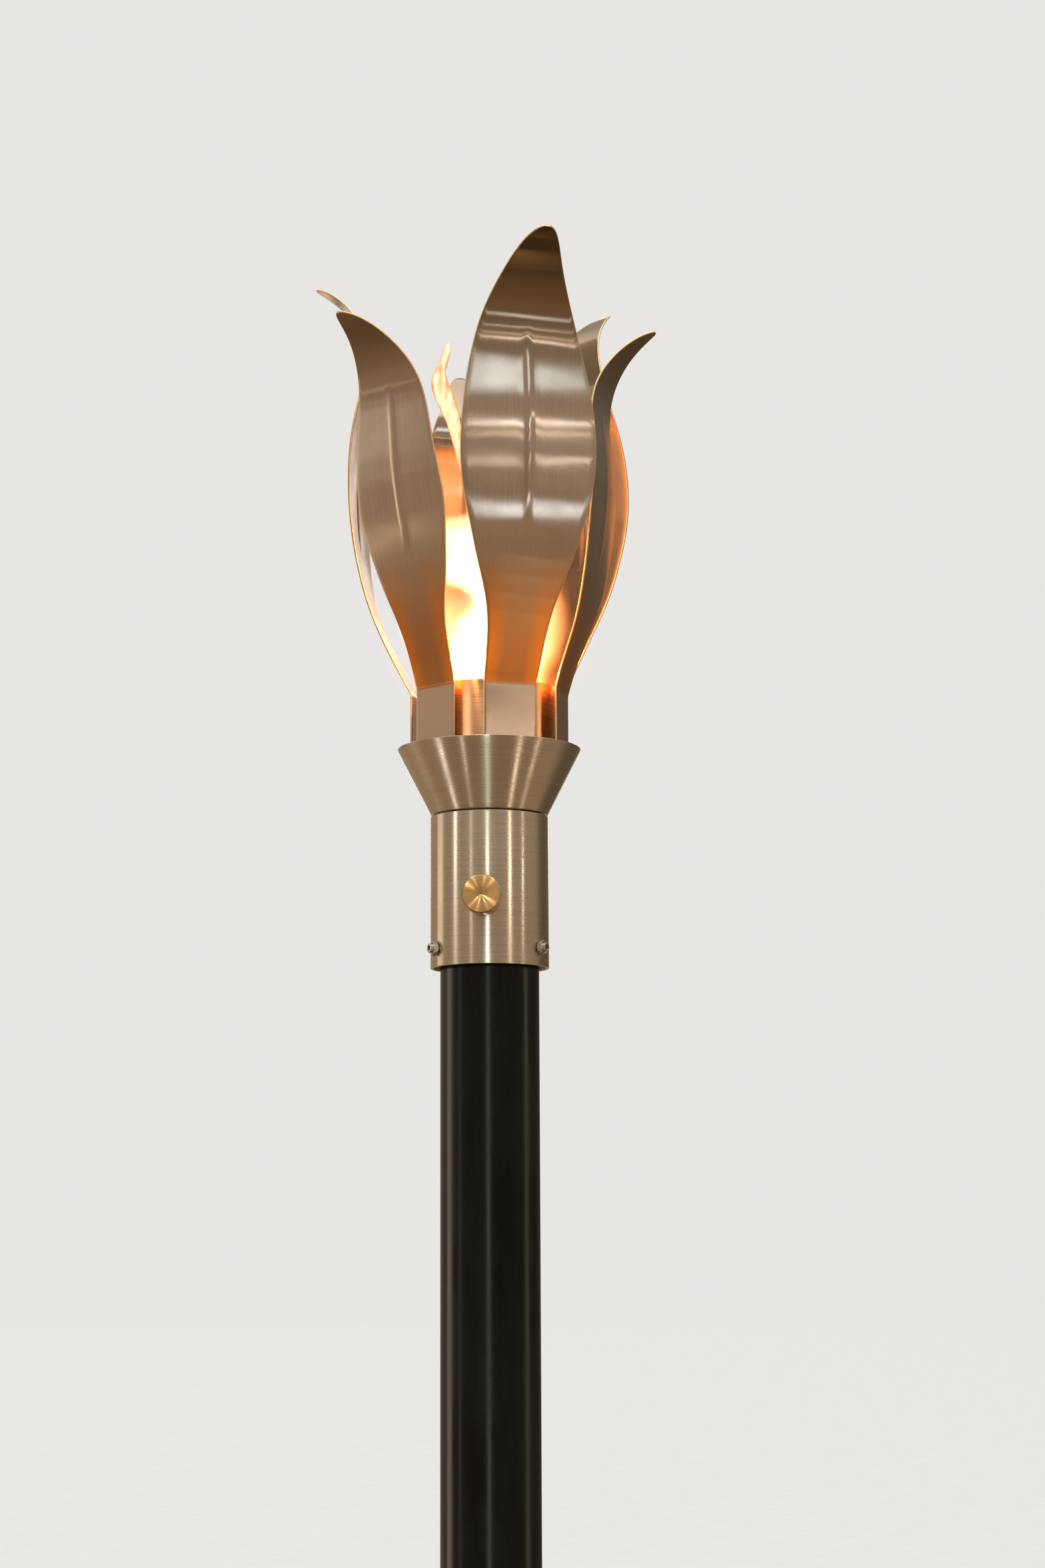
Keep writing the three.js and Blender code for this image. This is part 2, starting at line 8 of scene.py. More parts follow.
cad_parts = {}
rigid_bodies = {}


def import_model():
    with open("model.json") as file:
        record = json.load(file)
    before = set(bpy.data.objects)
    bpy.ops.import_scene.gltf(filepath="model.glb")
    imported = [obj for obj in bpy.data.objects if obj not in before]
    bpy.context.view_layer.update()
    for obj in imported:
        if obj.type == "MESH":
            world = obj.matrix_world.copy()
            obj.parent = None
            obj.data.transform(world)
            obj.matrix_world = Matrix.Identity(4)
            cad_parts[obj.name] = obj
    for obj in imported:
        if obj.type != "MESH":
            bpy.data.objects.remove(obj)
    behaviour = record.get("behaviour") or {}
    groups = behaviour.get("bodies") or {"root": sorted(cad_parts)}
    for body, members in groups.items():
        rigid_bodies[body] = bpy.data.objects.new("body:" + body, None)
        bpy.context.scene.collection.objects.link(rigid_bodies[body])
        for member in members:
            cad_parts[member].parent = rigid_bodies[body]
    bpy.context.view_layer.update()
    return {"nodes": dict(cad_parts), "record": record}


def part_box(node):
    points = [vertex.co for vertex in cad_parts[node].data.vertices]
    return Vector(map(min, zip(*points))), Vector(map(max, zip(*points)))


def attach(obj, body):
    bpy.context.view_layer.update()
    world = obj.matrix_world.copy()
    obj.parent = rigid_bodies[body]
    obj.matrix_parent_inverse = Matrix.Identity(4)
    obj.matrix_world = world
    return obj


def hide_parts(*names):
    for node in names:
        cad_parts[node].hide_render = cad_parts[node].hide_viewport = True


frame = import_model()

MM = 0.001
RECORD = frame["record"]
SLOT_OF = {row["node"]: row["material_slot"] for row in RECORD["subparts"]}
BODY_OF = {node: body for body, nodes in RECORD["behaviour"]["bodies"].items() for node in nodes}

# ---- dimensions

# Heights in the head are measured from the sleeve's foot.
(_, _, SLEEVE_FOOT), (SLEEVE_RADIUS, _, SLEEVE_TOP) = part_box("valve_sleeve")
SLEEVE_WALL = 2 * MM
POST_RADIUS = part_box("post")[1].x
POST_WALL = 3 * MM
GAP = 0.3 * MM
SHEET = 1.2 * MM
CUP_RADIUS, _, CUP_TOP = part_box("burner_cup")[1]
MIXER_HOLE = 8.3 * MM  # for the burner's pipe

SCREW_AZIMUTHS = [63, 183, 303]
SCREW_HEIGHT = SLEEVE_FOOT + 11.5 * MM
SCREW_RADIUS = 3 * MM
SCREW_LENGTH = 11.4 * MM
SOCKET_FLATS = 3.2 * MM
SOCKET_DEPTH = 3 * MM
NUT_CORNERS = 9.6 * MM
NUT_THICK = 3 * MM

VALVE_HEIGHT = SLEEVE_FOOT + 42.5 * MM
KNOB_RADIUS = 12.4 * MM
KNOB_BACK = 41.6 * MM
KNOB_FRONT = 52 * MM
STEM_RADIUS = 3 * MM
STEM_HOLE = 6 * MM
BONNET_FLATS, BONNET_BORE, BONNET_THICK = 14 * MM, 5.8 * MM, 2.6 * MM
RIVET_HOLE = 2.3 * MM

TAB_REACH = 48.4 * MM  # from the axis to the middle of the tab's sheet
TAB_FOOT = SLEEVE_FOOT + 129 * MM
TAB_BEND = SLEEVE_FOOT + 178.5 * MM
TAB_HALF_WIDTH = 17.3 * MM
TAB_CORNER = 3 * MM
RIVET_HEIGHT = SLEEVE_FOOT + 136 * MM
RIB_HEIGHT = 0.75 * MM
RIB_HALF_WIDTH = 4.2 * MM
RIB_START, RIB_END = 0.32, 0.77
DISH = 1.5 * MM
WIDEST = 44.2 * MM
LEAN_STATIONS = [0, 0.12, 0.3, 0.5, 0.7, 0.86, 1]
WIDTH_STATIONS = [0, 0.15, 0.3, 0.45, 0.6, 0.75, 0.9, 1]
TALL = {
    "length": 304 * MM,
    "lean": [30, 26.5, 11.5, -0.4, -8.3, 29, 68],
    "half_width": [17.3, 21.3, 34.5, 44.2, 42.5, 33.5, 19.5, 13],
}
SHORT = {
    "length": 258 * MM,
    "lean": [13.5, 20.5, 11.5, 3.5, -4.5, 33, 65],
    "half_width": [17.3, 20, 30, 36.6, 33.2, 26.9, 16, 10.5],
}
# (shape, place round the cup, extra curl at the tip, sway round the axis above the bend), degrees
PETALS = [
    (TALL, 22, 7, 0), (SHORT, 82, 1.5, 0), (TALL, 138, -4, -1),
    (SHORT, 198, -8, 0), (TALL, 266, -1.5, 4), (SHORT, 321, 16, 3),
]

# ---- camera

CAMERA_AZIMUTH = 6  # the viewer stands a little to the right of the knob
CAMERA_DISTANCE = 1.8372
CAMERA_DROP = 0.1742  # below the sleeve's foot
CAMERA_TILT, CAMERA_YAW, CAMERA_ROLL = 9.106, 0.672, -0.243
LENS = 65.79


def turn(degrees, axis):
    return Matrix.Rotation(radians(degrees), 4, axis)


def facing(azimuth, height=0):
    """The frame of a piece whose own +Z points away from the torch's axis at that azimuth."""
    return Matrix.Translation((0, 0, height)) @ turn(azimuth, "Z") @ turn(90, "X")


def link(name, data):
    made = bpy.data.objects.new(name, data)
    bpy.context.scene.collection.objects.link(made)
    return made


def make_camera():
    data = bpy.data.cameras.new("camera")
    data.lens = LENS
    data.sensor_width = 36
    camera = link("camera", data)
    place = turn(CAMERA_AZIMUTH, "Z") @ Matrix.Translation(
        (0, -CAMERA_DISTANCE, SLEEVE_FOOT - CAMERA_DROP))
    camera.matrix_world = (
        place @ turn(-CAMERA_YAW, "Z") @ turn(90 + CAMERA_TILT, "X") @ turn(CAMERA_ROLL, "Z"))
    bpy.context.scene.camera = camera


make_camera()

# ---- node materials


class Nodes:
    """Short calls that add nodes to a tree and join them."""

    def __init__(self, tree):
        self.tree = tree

    def put(self, value, socket):
        """Joins an output to the socket, or sets the socket's own value."""
        if isinstance(value, bpy.types.NodeSocket):
            self.tree.links.new(value, socket)
        else:
            socket.default_value = value

    def node(self, kind, inputs=None, **settings):
        made = self.tree.nodes.new("ShaderNode" + kind)
        for key, value in settings.items():
            setattr(made, key, value)
        for key, value in (inputs or {}).items():
            self.put(value, made.inputs[key])
        return made

    def math(self, operation, *values):
        return self.node("Math", dict(enumerate(values)), operation=operation).outputs[0]

    def times(self, value, *others):
        for other in others:
            value = self.math("MULTIPLY", value, other)
        return value

    def vector(self, operation, first, second=None):
        """A vector operation's number where it gives one, or else its vector."""
        inputs = {0: first}
        if second is not None:
            inputs["Scale" if operation == "SCALE" else 1] = second
        made = self.node("VectorMath", inputs, operation=operation)
        return made.outputs["Value" if operation in ("LENGTH", "DOT_PRODUCT") else "Vector"]

    def scaled(self, vector, scale):
        return self.vector("MULTIPLY", vector, scale)

    def parts(self, vector):
        return self.node("SeparateXYZ", {0: vector}).outputs

    def spread(self, value, low, high, start=0, end=1, **settings):
        inputs = {"Value": value, "From Min": start, "From Max": end, "To Min": low, "To Max": high}
        return self.node("MapRange", inputs, **settings).outputs["Result"]

    def blend(self, factor, first, second):
        made = self.node("Mix", {"Factor": factor}, data_type="RGBA")
        for key, value in (("A", first), ("B", second)):
            socket = next(s for s in made.inputs if s.name == key and s.type == "RGBA")
            self.put(value if isinstance(value, bpy.types.NodeSocket) else (*value, 1), socket)
        return next(s for s in made.outputs if s.type == "RGBA")

    def tint(self, first, second, value, start, end, share=1):
        """The second colour comes over the first as the value goes from start to end."""
        return self.blend(self.spread(value, 0, share, start, end), first, second)

    def seen(self):
        return self.node("LightPath").outputs["Is Camera Ray"]


class Shader(Nodes):
    """A material with one Principled shader."""

    def __init__(self, name, **sockets):
        self.material = bpy.data.materials.new(name)
        self.material.use_nodes = True
        super().__init__(self.material.node_tree)
        self.surface = self.tree.nodes["Principled BSDF"]
        self.drive(**sockets)

    def drive(self, **sockets):
        for socket, value in sockets.items():
            self.put(value, self.surface.inputs[socket.replace("_", " ")])
        return self.material

    def place(self):
        return self.node("TexCoord").outputs["Object"]

    def noise(self, vector, detail=4, roughness=0.55):
        inputs = {"Vector": vector, "Scale": 1, "Detail": detail, "Roughness": roughness}
        return self.node("TexNoise", inputs).outputs["Fac"]

    def cloud(self, across, up, detail=4, roughness=0.55):
        """Noise in the piece's own space, with so many spots a metre across and up."""
        return self.noise(self.scaled(self.place(), (across, across, up)), detail, roughness)

    def bump(self, height, distance, strength, normal=None):
        inputs = {"Height": height, "Distance": distance, "Strength": strength}
        if normal is not None:
            inputs["Normal"] = normal
        return self.node("Bump", inputs).outputs["Normal"]

    def rough(self, fine, swing, broad, low, high, top=0.7):
        """Roughness that a broad noise sets between two values and a fine one shakes."""
        return self.math("ADD", self.spread(fine, *swing, 0.3, 0.7),
                         self.spread(broad, low, high, 0.3, top))

    def ringed(self):
        """The direction round the piece's own Z axis."""
        return self.node("Tangent", direction_type="RADIAL", axis="Z").outputs[0]


def round_grain(look, fine, coarse):
    """Coordinates that are stretched round the piece's own Z axis, on walls and on flat faces."""
    place = look.place()
    parts = look.parts(place)
    radius = look.vector("LENGTH", look.scaled(place, (1, 1, 0)))
    across = look.times(look.math("ADD", radius, parts["Z"]), fine)
    level = {key: look.times(parts[key], coarse) for key in "XY"}
    return look.node("CombineXYZ", {**level, "Z": across}).outputs[0]


def brushed_round(name, colour, roughness, stain=None):
    """Steel brushed round its axis: long fine lines, soft smudges and a few deeper scratches."""
    look = Shader(name, Metallic=1, Anisotropic=0.9, Anisotropic_Rotation=0.25)
    lines = look.noise(round_grain(look, 5200, 12), detail=3, roughness=0.6)
    deep = look.noise(round_grain(look, 1300, 5), detail=2)
    smudge = look.cloud(38, 22, detail=5, roughness=0.6)
    dark = [c * 0.82 for c in colour]
    light = [min(1, c * 1.1) for c in colour]
    tone = look.tint(dark, light, lines, 0.3, 0.7)
    tone = look.tint(tone, [c * 0.8 for c in colour], smudge, 0.35, 0.75, 0.35)
    if stain:
        tone = stain(look, tone)
    rough = look.rough(lines, (-0.06, 0.06), smudge, roughness - 0.05, roughness + 0.07)
    normal = look.bump(lines, 0.02 * MM, 0.035, look.bump(deep, 0.03 * MM, 0.015))
    return look.drive(Base_Color=tone, Roughness=rough, Normal=normal, Tangent=look.ringed())


# Tints on the petals: a straw heat tint from the tab up, an orange that is partly heat tint and partly
# painted flame glow on the feet, and painted flame glow at the edges near the flame.
STRAW, HEAT_TINT_AND_FLAME_GLOW, PAINTED_FLAME_GLOW = (0.56, 0.32, 0.17), (0.6, 0.24, 0.07), (1, 0.36, 0.07)
# Painted shade: a dark brown for the tips, as where they mirror the dark ground.
PAINTED_TIP_SHADE = (0.27, 0.19, 0.12)


def petal_steel():
    """Sheet steel brushed along the petal, a little uneven from bending and tinted by the heat, with
    painted flame glow on its feet and edges near the flame and painted shade at its tip.
    """
    look = Shader("petal_steel", Metallic=1, Anisotropic=1)
    uv = look.node("UVMap", uv_map="grain").outputs["UV"]
    lines = look.noise(look.scaled(uv, (3400, 20, 0)), detail=5, roughness=0.7)
    strokes = look.noise(look.scaled(uv, (520, 12, 3)), detail=3)
    smudge = look.cloud(24, 34, detail=6, roughness=0.62)
    sheet = look.cloud(14, 30, detail=1)
    parts = look.parts(uv)
    along, across = parts["Y"], look.math("ABSOLUTE", parts["X"])
    tone = look.tint((0.52, 0.43, 0.36), (0.69, 0.6, 0.52), lines, 0.28, 0.72)
    tone = look.tint(tone, (0.47, 0.37, 0.29), smudge, 0.4, 0.8, 0.45)
    tone = look.tint(tone, STRAW, along, 165 * MM, 70 * MM, 0.8)
    # Partly heat tint, partly painted glow of the flame on the petal's lower part.
    tone = look.tint(tone, HEAT_TINT_AND_FLAME_GLOW, along, 130 * MM, 60 * MM, 0.75)
    # Painted flame glow on the outer parts of the sheet near its foot.
    edge = look.times(look.spread(across, 0, 1, 7 * MM, 16 * MM),
                      look.spread(along, 1, 0, 70 * MM, 130 * MM))
    tone = look.blend(edge, tone, PAINTED_FLAME_GLOW)
    tone = look.tint(tone, (0.52, 0.39, 0.29), along, 50.5 * MM, 48 * MM)
    # Painted shade: darker brown towards the tip, as where it mirrors the dark ground.
    tone = look.tint(tone, PAINTED_TIP_SHADE, along, 225 * MM, 300 * MM, 0.95)
    rough = look.rough(lines, (-0.03, 0.03), smudge, 0.12, 0.19, 0.75)
    normal = look.bump(sheet, 1.2 * MM, 0.2)
    normal = look.bump(strokes, 0.03 * MM, 0.2, normal)
    normal = look.bump(lines, 0.02 * MM, 0.3, normal)
    tangent = look.node("Tangent", direction_type="UV_MAP", uv_map="grain").outputs[0]
    return look.drive(Base_Color=tone, Roughness=rough, Normal=normal, Tangent=tangent)


def cut_edge_painted_glow():
    """The cut and deburred edge of the petal sheet, brighter than its faces. Its orange-gold tone is
    painted flame glow, which the walls of the drilled holes get too.
    """
    look = Shader("cut_edge_painted_glow", Metallic=1)
    nick = look.cloud(420, 260, detail=4)
    # Painted flame glow: an orange-gold tone for the cut edge.
    tone = look.blend(nick, (0.92, 0.66, 0.36), (1, 0.8, 0.5))
    rough = look.spread(nick, 0.38, 0.56)
    return look.drive(Base_Color=tone, Roughness=rough, Normal=look.bump(nick, 0.02 * MM, 0.3))


def turned_brass(name, dark, light, lines_per_metre=3200, anisotropy=0.85, roughness=0.3):
    """Brass turned in a lathe: rings round the axis, slightly tarnished between them."""
    look = Shader(name, Metallic=1, Anisotropic=anisotropy, Anisotropic_Rotation=0.25)
    rings = look.noise(round_grain(look, lines_per_metre, 30), detail=4, roughness=0.75)
    grooves = look.noise(round_grain(look, 900, 12), detail=2)
    tarnish = look.cloud(90, 90, detail=6)
    tone = look.tint(dark, light, rings, 0.3, 0.7)
    tone = look.tint(tone, [c * 0.6 for c in dark], tarnish, 0.45, 0.8, 0.3)
    rough = look.rough(rings, (-0.03, 0.03), tarnish, roughness - 0.03, roughness + 0.04, 0.8)
    normal = look.bump(rings, 0.02 * MM, 0.06, look.bump(grooves, 0.03 * MM, 0.03))
    return look.drive(Base_Color=tone, Roughness=rough, Normal=normal, Tangent=look.ringed())


def powder_coat():
    """Glossy black powder coat: a faint orange peel, dust in the gloss and small scuffs."""
    look = Shader("black_coat", Specular_IOR_Level=0.2, IOR=1.5)
    peel = look.cloud(420, 300, detail=2)
    dust = look.cloud(55, 14, detail=8, roughness=0.7)
    scuff = look.cloud(260, 900, detail=3)
    worn = look.spread(scuff, 0, 1, 0.7, 0.78)
    tone = look.tint((0.0015, 0.0022, 0.0018), (0.008, 0.009, 0.008), dust, 0.4, 0.85)
    tone = look.tint(tone, (0.03, 0.03, 0.03), worn, 0, 1, 0.3)
    rough = look.math("ADD", look.spread(dust, 0.17, 0.3, 0.3, 0.8), look.times(worn, 0.12))
    return look.drive(Base_Color=tone, Roughness=rough, Normal=look.bump(peel, 0.06 * MM, 0.35))


def zinc_steel():
    """Zinc plate: dull grey with a fine crystal pattern."""
    look = Shader("zinc_steel", Metallic=1)
    cells = look.node("TexVoronoi", {
        "Vector": look.scaled(look.place(), (420, 420, 420)), "Scale": 1})
    haze = look.cloud(60, 60, detail=5)
    shade = look.node("SeparateColor", {0: cells.outputs["Color"]}).outputs[0]
    tone = look.blend(shade, (0.36, 0.38, 0.39), (0.56, 0.58, 0.59))
    rough = look.math("ADD", look.spread(shade, -0.05, 0.05), look.spread(haze, 0.38, 0.52, 0.3, 0.7))
    return look.drive(Base_Color=tone, Roughness=rough, Normal=look.bump(haze, 0.05 * MM, 0.4))


def screw_steel():
    """Plain stainless fasteners: semi-bright, with small dents and patches of grime."""
    look = Shader("screw_steel", Metallic=1)
    wear = look.cloud(900, 900, detail=5, roughness=0.65)
    grime = look.cloud(240, 240, detail=4)
    tone = look.tint((0.66, 0.63, 0.58), (0.42, 0.38, 0.33), grime, 0.35, 0.75)
    rough = look.rough(wear, (-0.05, 0.07), grime, 0.2, 0.32)
    return look.drive(Base_Color=tone, Roughness=rough, Normal=look.bump(wear, 0.04 * MM, 0.4))


def heat_stain(look, tone):
    """Straw and brown bands that the flame leaves on the burner cup's upper edge and inside."""
    height = look.parts(look.place())["Z"]
    ragged = look.cloud(60, 20, detail=3)
    level = look.math("ADD", height, look.spread(ragged, -4 * MM, 4 * MM))
    tone = look.tint(tone, (0.66, 0.44, 0.24), level, CUP_TOP - 40 * MM, CUP_TOP - 12 * MM, 0.5)
    return look.tint(tone, (0.4, 0.24, 0.14), level, CUP_TOP - 12 * MM, CUP_TOP + 2 * MM, 0.5)


STEEL_TONE = (0.65, 0.575, 0.485)
MATERIALS = {
    "black_coat": powder_coat(),
    "brass": turned_brass("brass", (0.42, 0.29, 0.11), (0.72, 0.55, 0.27)),
    "knob_brass": turned_brass("knob_brass", (0.54, 0.36, 0.17), (0.86, 0.61, 0.33), 4200,
                               1, 0.19),
    "zinc_steel": zinc_steel(),
    "screw_steel": screw_steel(),
    "sleeve_steel": brushed_round("sleeve_steel", STEEL_TONE, 0.27),
    # The cup's warm copper tone is partly heat tint and partly painted reflection of the flame's glow.
    "cup_steel": brushed_round("cup_steel", (0.8, 0.56, 0.4), 0.3, heat_stain),
    "petal_steel": petal_steel(),
}
CUT_EDGE_PAINTED_GLOW = cut_edge_painted_glow()

# ---- mesh helpers

SHARP = 32  # faces that meet at more degrees than this make an edge
CORNERS = ((0, 0), (1, 0), (1, 1), (0, 1))  # of a face: steps along its row and to the next row


def add_mesh(name, points, faces, uvs, materials, face_material=None, sharp=SHARP):
    """A smooth mesh with the grain's UV map. uvs has one (u, v) for each corner of each face."""
    mesh = bpy.data.meshes.new(name)
    mesh.from_pydata([tuple(p) for p in points], [], faces)
    layer = mesh.uv_layers.new(name="grain")
    layer.data.foreach_set("uv", np.asarray(uvs, np.float32).ravel())
    for material in materials:
        mesh.materials.append(material)
    if face_material is not None:
        mesh.polygons.foreach_set("material_index", np.asarray(face_material, np.int32))
    mesh.polygons.foreach_set("use_smooth", [True] * len(mesh.polygons))
    mesh.update()
    mesh.set_sharp_from_angle(angle=radians(sharp))
    return link(name, mesh)


def quads(rows, ring):
    """The faces between rows of ring points. The last row joins the first one again."""
    return [(r * ring + c, r * ring + (c + 1) % ring, (r + 1) % rows * ring + (c + 1) % ring,
             (r + 1) % rows * ring + c) for r in range(rows) for c in range(ring)]


def rounded(corners, steps=4):
    """The outline through (radius, height, fillet) corners, each fillet as a smooth curve."""
    points = []
    count = len(corners)
    for i, (r, z, fillet) in enumerate(corners):
        here = np.array([r, z])
        if fillet == 0:
            points.append((r, z))
            continue
        before = np.array(corners[i - 1][:2]) - here
        after = np.array(corners[(i + 1) % count][:2]) - here
        before, after = (side / np.linalg.norm(side) for side in (before, after))
        reach = fillet / tan(acos(before @ after) / 2)
        start, end = here + before * reach, here + after * reach
        for t in np.linspace(0, 1, steps + 1):
            points.append(tuple((1 - t) ** 2 * start + 2 * t * (1 - t) * here + t ** 2 * end))
    return points


def divided(outline, longest):
    """The same closed outline with extra points, so that no side is longer than that."""
    points = []
    for (r0, z0), (r1, z1) in zip(outline, outline[1:] + outline[:1]):
        parts = max(1, ceil(hypot(r1 - r0, z1 - z0) / longest))
        points += [(r0 + (r1 - r0) * k / parts, z0 + (z1 - z0) * k / parts) for k in range(parts)]
    return points


def revolve(name, outline, material, segments, place=None, shape=None, sharp=SHARP):
    """Turns an outline of (radius, height) points, counter-clockwise, about +Z. It's closed, or it
    starts and ends on the axis. A radius may be a function of the angles, and shape may move the
    turned points."""
    angles = np.arange(segments) * 2 * pi / segments
    on_axis = not callable(outline[0][0]) and outline[0][0] == 0
    rings = outline[1:-1] if on_axis else outline
    radii = np.array([r(angles) if callable(r) else np.full(segments, r) for r, _ in rings])
    heights = np.array([np.full(segments, z) for _, z in rings])
    if shape:
        radii, heights = shape(radii, heights, angles)
    points = np.stack([radii * np.cos(angles), radii * np.sin(angles), heights], -1)
    points = points.reshape(-1, 3).tolist()
    steps = np.hypot(np.diff(radii[:, 0], append=radii[0, 0]),
                     np.diff(heights[:, 0], append=heights[0, 0]))
    along = np.concatenate([[0], np.cumsum(steps)])
    girth = 2 * pi * radii.max()
    count = len(rings)
    uvs = [(girth * (j + u) / segments, along[i + v])
           for i in range(count - 1 if on_axis else count)
           for j in range(segments) for u, v in CORNERS]
    faces = quads(count, segments)
    if on_axis:
        del faces[-segments:]
        for ring, end, order in ((0, outline[0][1], -1), (count - 1, outline[-1][1], 1)):
            points.append((0, 0, end))
            for j in range(segments):
                corner = [ring * segments + j, ring * segments + (j + 1) % segments]
                faces.append((*corner[::order], len(points) - 1))
                uvs += [(girth * j / segments, along[ring])] * 2 + [(0, along[ring])]
    made = add_mesh(name, points, faces, uvs, [material], sharp=sharp)
    if place is not None:
        made.matrix_world = place
    return made


def tube_outline(inner, outer, bottom, top, fillet):
    return rounded([(inner, bottom, fillet), (outer, bottom, fillet), (outer, top, fillet),
                    (inner, top, fillet)])


def drill(piece, *holes, segments):
    """Cuts round holes, each (frame, radius, from, to) along the frame's own Z."""
    for place, radius, start, end in holes:
        tool = revolve("drill", [(0, start), (radius, start), (radius, end), (0, end)],
                       CUT_EDGE_PAINTED_GLOW, segments, place)
        cut = piece.modifiers.new("hole", "BOOLEAN")
        cut.operation, cut.solver, cut.object = "DIFFERENCE", "EXACT", tool
        cut.material_mode = "INDEX"
        bpy.context.view_layer.update()
        graph = bpy.context.evaluated_depsgraph_get()
        drilled = bpy.data.meshes.new_from_object(piece.evaluated_get(graph))
        piece.modifiers.clear()
        piece.data = drilled
        bpy.data.objects.remove(tool)
    piece.data.set_sharp_from_angle(angle=radians(SHARP))


def stands_for(piece, node):
    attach(piece, BODY_OF[node])
    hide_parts(node)


def material_of(node):
    return MATERIALS[SLOT_OF[node]]


def turned(name, node, outline, segments, place=None, holes=(), hole_sides=32, **shaping):
    """A revolved piece with its holes drilled, which stands for a node of the CAD model."""
    piece = revolve(name, outline, material_of(node), segments, place, **shaping)
    if holes:
        drill(piece, *holes, segments=hole_sides)
    stands_for(piece, node)


def hexagon(flats):
    """The radius of a hexagon with a corner at angle 90 degrees, as a function of the angles."""
    def radius(angles):
        folded = (angles + pi / 6 - pi / 2) % (pi / 3) - pi / 6
        return flats / 2 / np.cos(pi / 6 - np.abs(folded))
    return radius


def smoothstep(value, start, end):
    t = np.clip((value - start) / (end - start), 0, 1)
    return t * t * (3 - 2 * t)


# ---- post and foot


def make_post():
    low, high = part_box("post")
    outline = tube_outline(POST_RADIUS - POST_WALL, POST_RADIUS, low.z, high.z, 0.6 * MM)
    outline = divided(outline, 0.12)
    turned("post_tube", "post", outline, 160)


def make_weld():
    """A fillet weld round the post's foot, with the ripples of each pool of metal."""
    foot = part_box("post_weld")[0].z
    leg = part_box("post_weld")[1].x - POST_RADIUS - GAP
    inner = POST_RADIUS + GAP
    arc = [(inner + leg * (1 - sin(a)), foot + leg * (1 - cos(a))) for a in np.linspace(0, pi / 2, 9)]
    hollow = 0.55
    outline = [(inner, foot)] + [
        (r * (1 - hollow) + hollow * (inner + leg - (z - foot)), z) for r, z in arc]
    ripples = 70

    def bead(radii, heights, angles):
        wave = 0.5 + 0.5 * np.cos(angles * ripples + 2 * np.sin(angles * 5))
        sink = 0.45 * MM * wave * (radii > inner + 0.1 * MM) * (heights > foot + 0.1 * MM)
        return radii - sink * 0.7, heights - sink * 0.7

    turned("post_weld_bead", "post_weld", outline, 560, shape=bead)


# ---- sleeve, screws and knob


def make_sleeve():
    outline = tube_outline(SLEEVE_RADIUS - SLEEVE_WALL, SLEEVE_RADIUS, SLEEVE_FOOT, SLEEVE_TOP, 0.45 * MM)
    start, end = SLEEVE_RADIUS - 6 * MM, SLEEVE_RADIUS + 4 * MM
    holes = [(facing(0, VALVE_HEIGHT), STEM_HOLE, start, end)]
    holes += [(facing(a, SCREW_HEIGHT), SCREW_RADIUS + GAP, start, end) for a in SCREW_AZIMUTHS]
    turned("sleeve_tube", "valve_sleeve", outline, 192, holes=holes)


def make_set_screw(number, azimuth):
    """A socket set screw that stands just proud of its hexagon nut."""
    tip = POST_RADIUS + GAP
    end = tip + SCREW_LENGTH
    crest, root = SCREW_RADIUS, SCREW_RADIUS - 0.22 * MM
    pitch = 0.8 * MM
    turns = int((SCREW_LENGTH - 2.4 * MM) / pitch)
    thread = []
    for i in range(turns):
        low = tip + 1.2 * MM + i * pitch
        thread += [(root, low), (crest, low + pitch * 0.35), (crest, low + pitch * 0.6)]
    socket = hexagon(SOCKET_FLATS)
    outline = [(0, tip), (crest * 0.55, tip), (root, tip + 0.9 * MM), *thread,
               (root, end - 1.1 * MM), (crest, end - 0.8 * MM), (crest, end - 0.35 * MM),
               (crest - 0.12 * MM, end - 0.1 * MM), (crest - 0.4 * MM, end),
               (lambda a: socket(a) + 0.15 * MM, end), (socket, end - 0.18 * MM),
               (socket, end - SOCKET_DEPTH + 0.5 * MM), (0, end - SOCKET_DEPTH)]
    node = f"set_screw_{number}"
    turned(f"{node}_body", node, outline, 72, facing(azimuth, SCREW_HEIGHT))


def hex_nut(node, flats, bore, thick, place):
    """A hexagon nut whose corners are chamfered to a cone at both faces."""
    bottom = SLEEVE_RADIUS + GAP
    top = bottom + thick
    corner = flats / sqrt(3)
    face = flats / 2 * 0.97
    hexed = hexagon(flats)
    depth = (corner - face) * tan(radians(30))
    mouth = flats * 0.045

    def cone(share):
        return lambda angles: np.minimum(hexed(angles), face + (corner - face) * share)

    shares = np.linspace(0, 1, 6)
    outline = [(bore + mouth, bottom)]
    outline += [(cone(s), bottom + depth * s) for s in shares]
    outline += [(cone(s), top - depth * s) for s in shares[::-1]]
    outline += [(bore + mouth, top), (bore, top - mouth), (bore, bottom + mouth)]
    turned(f"{node}_hex", node, outline, 96, place, sharp=25)


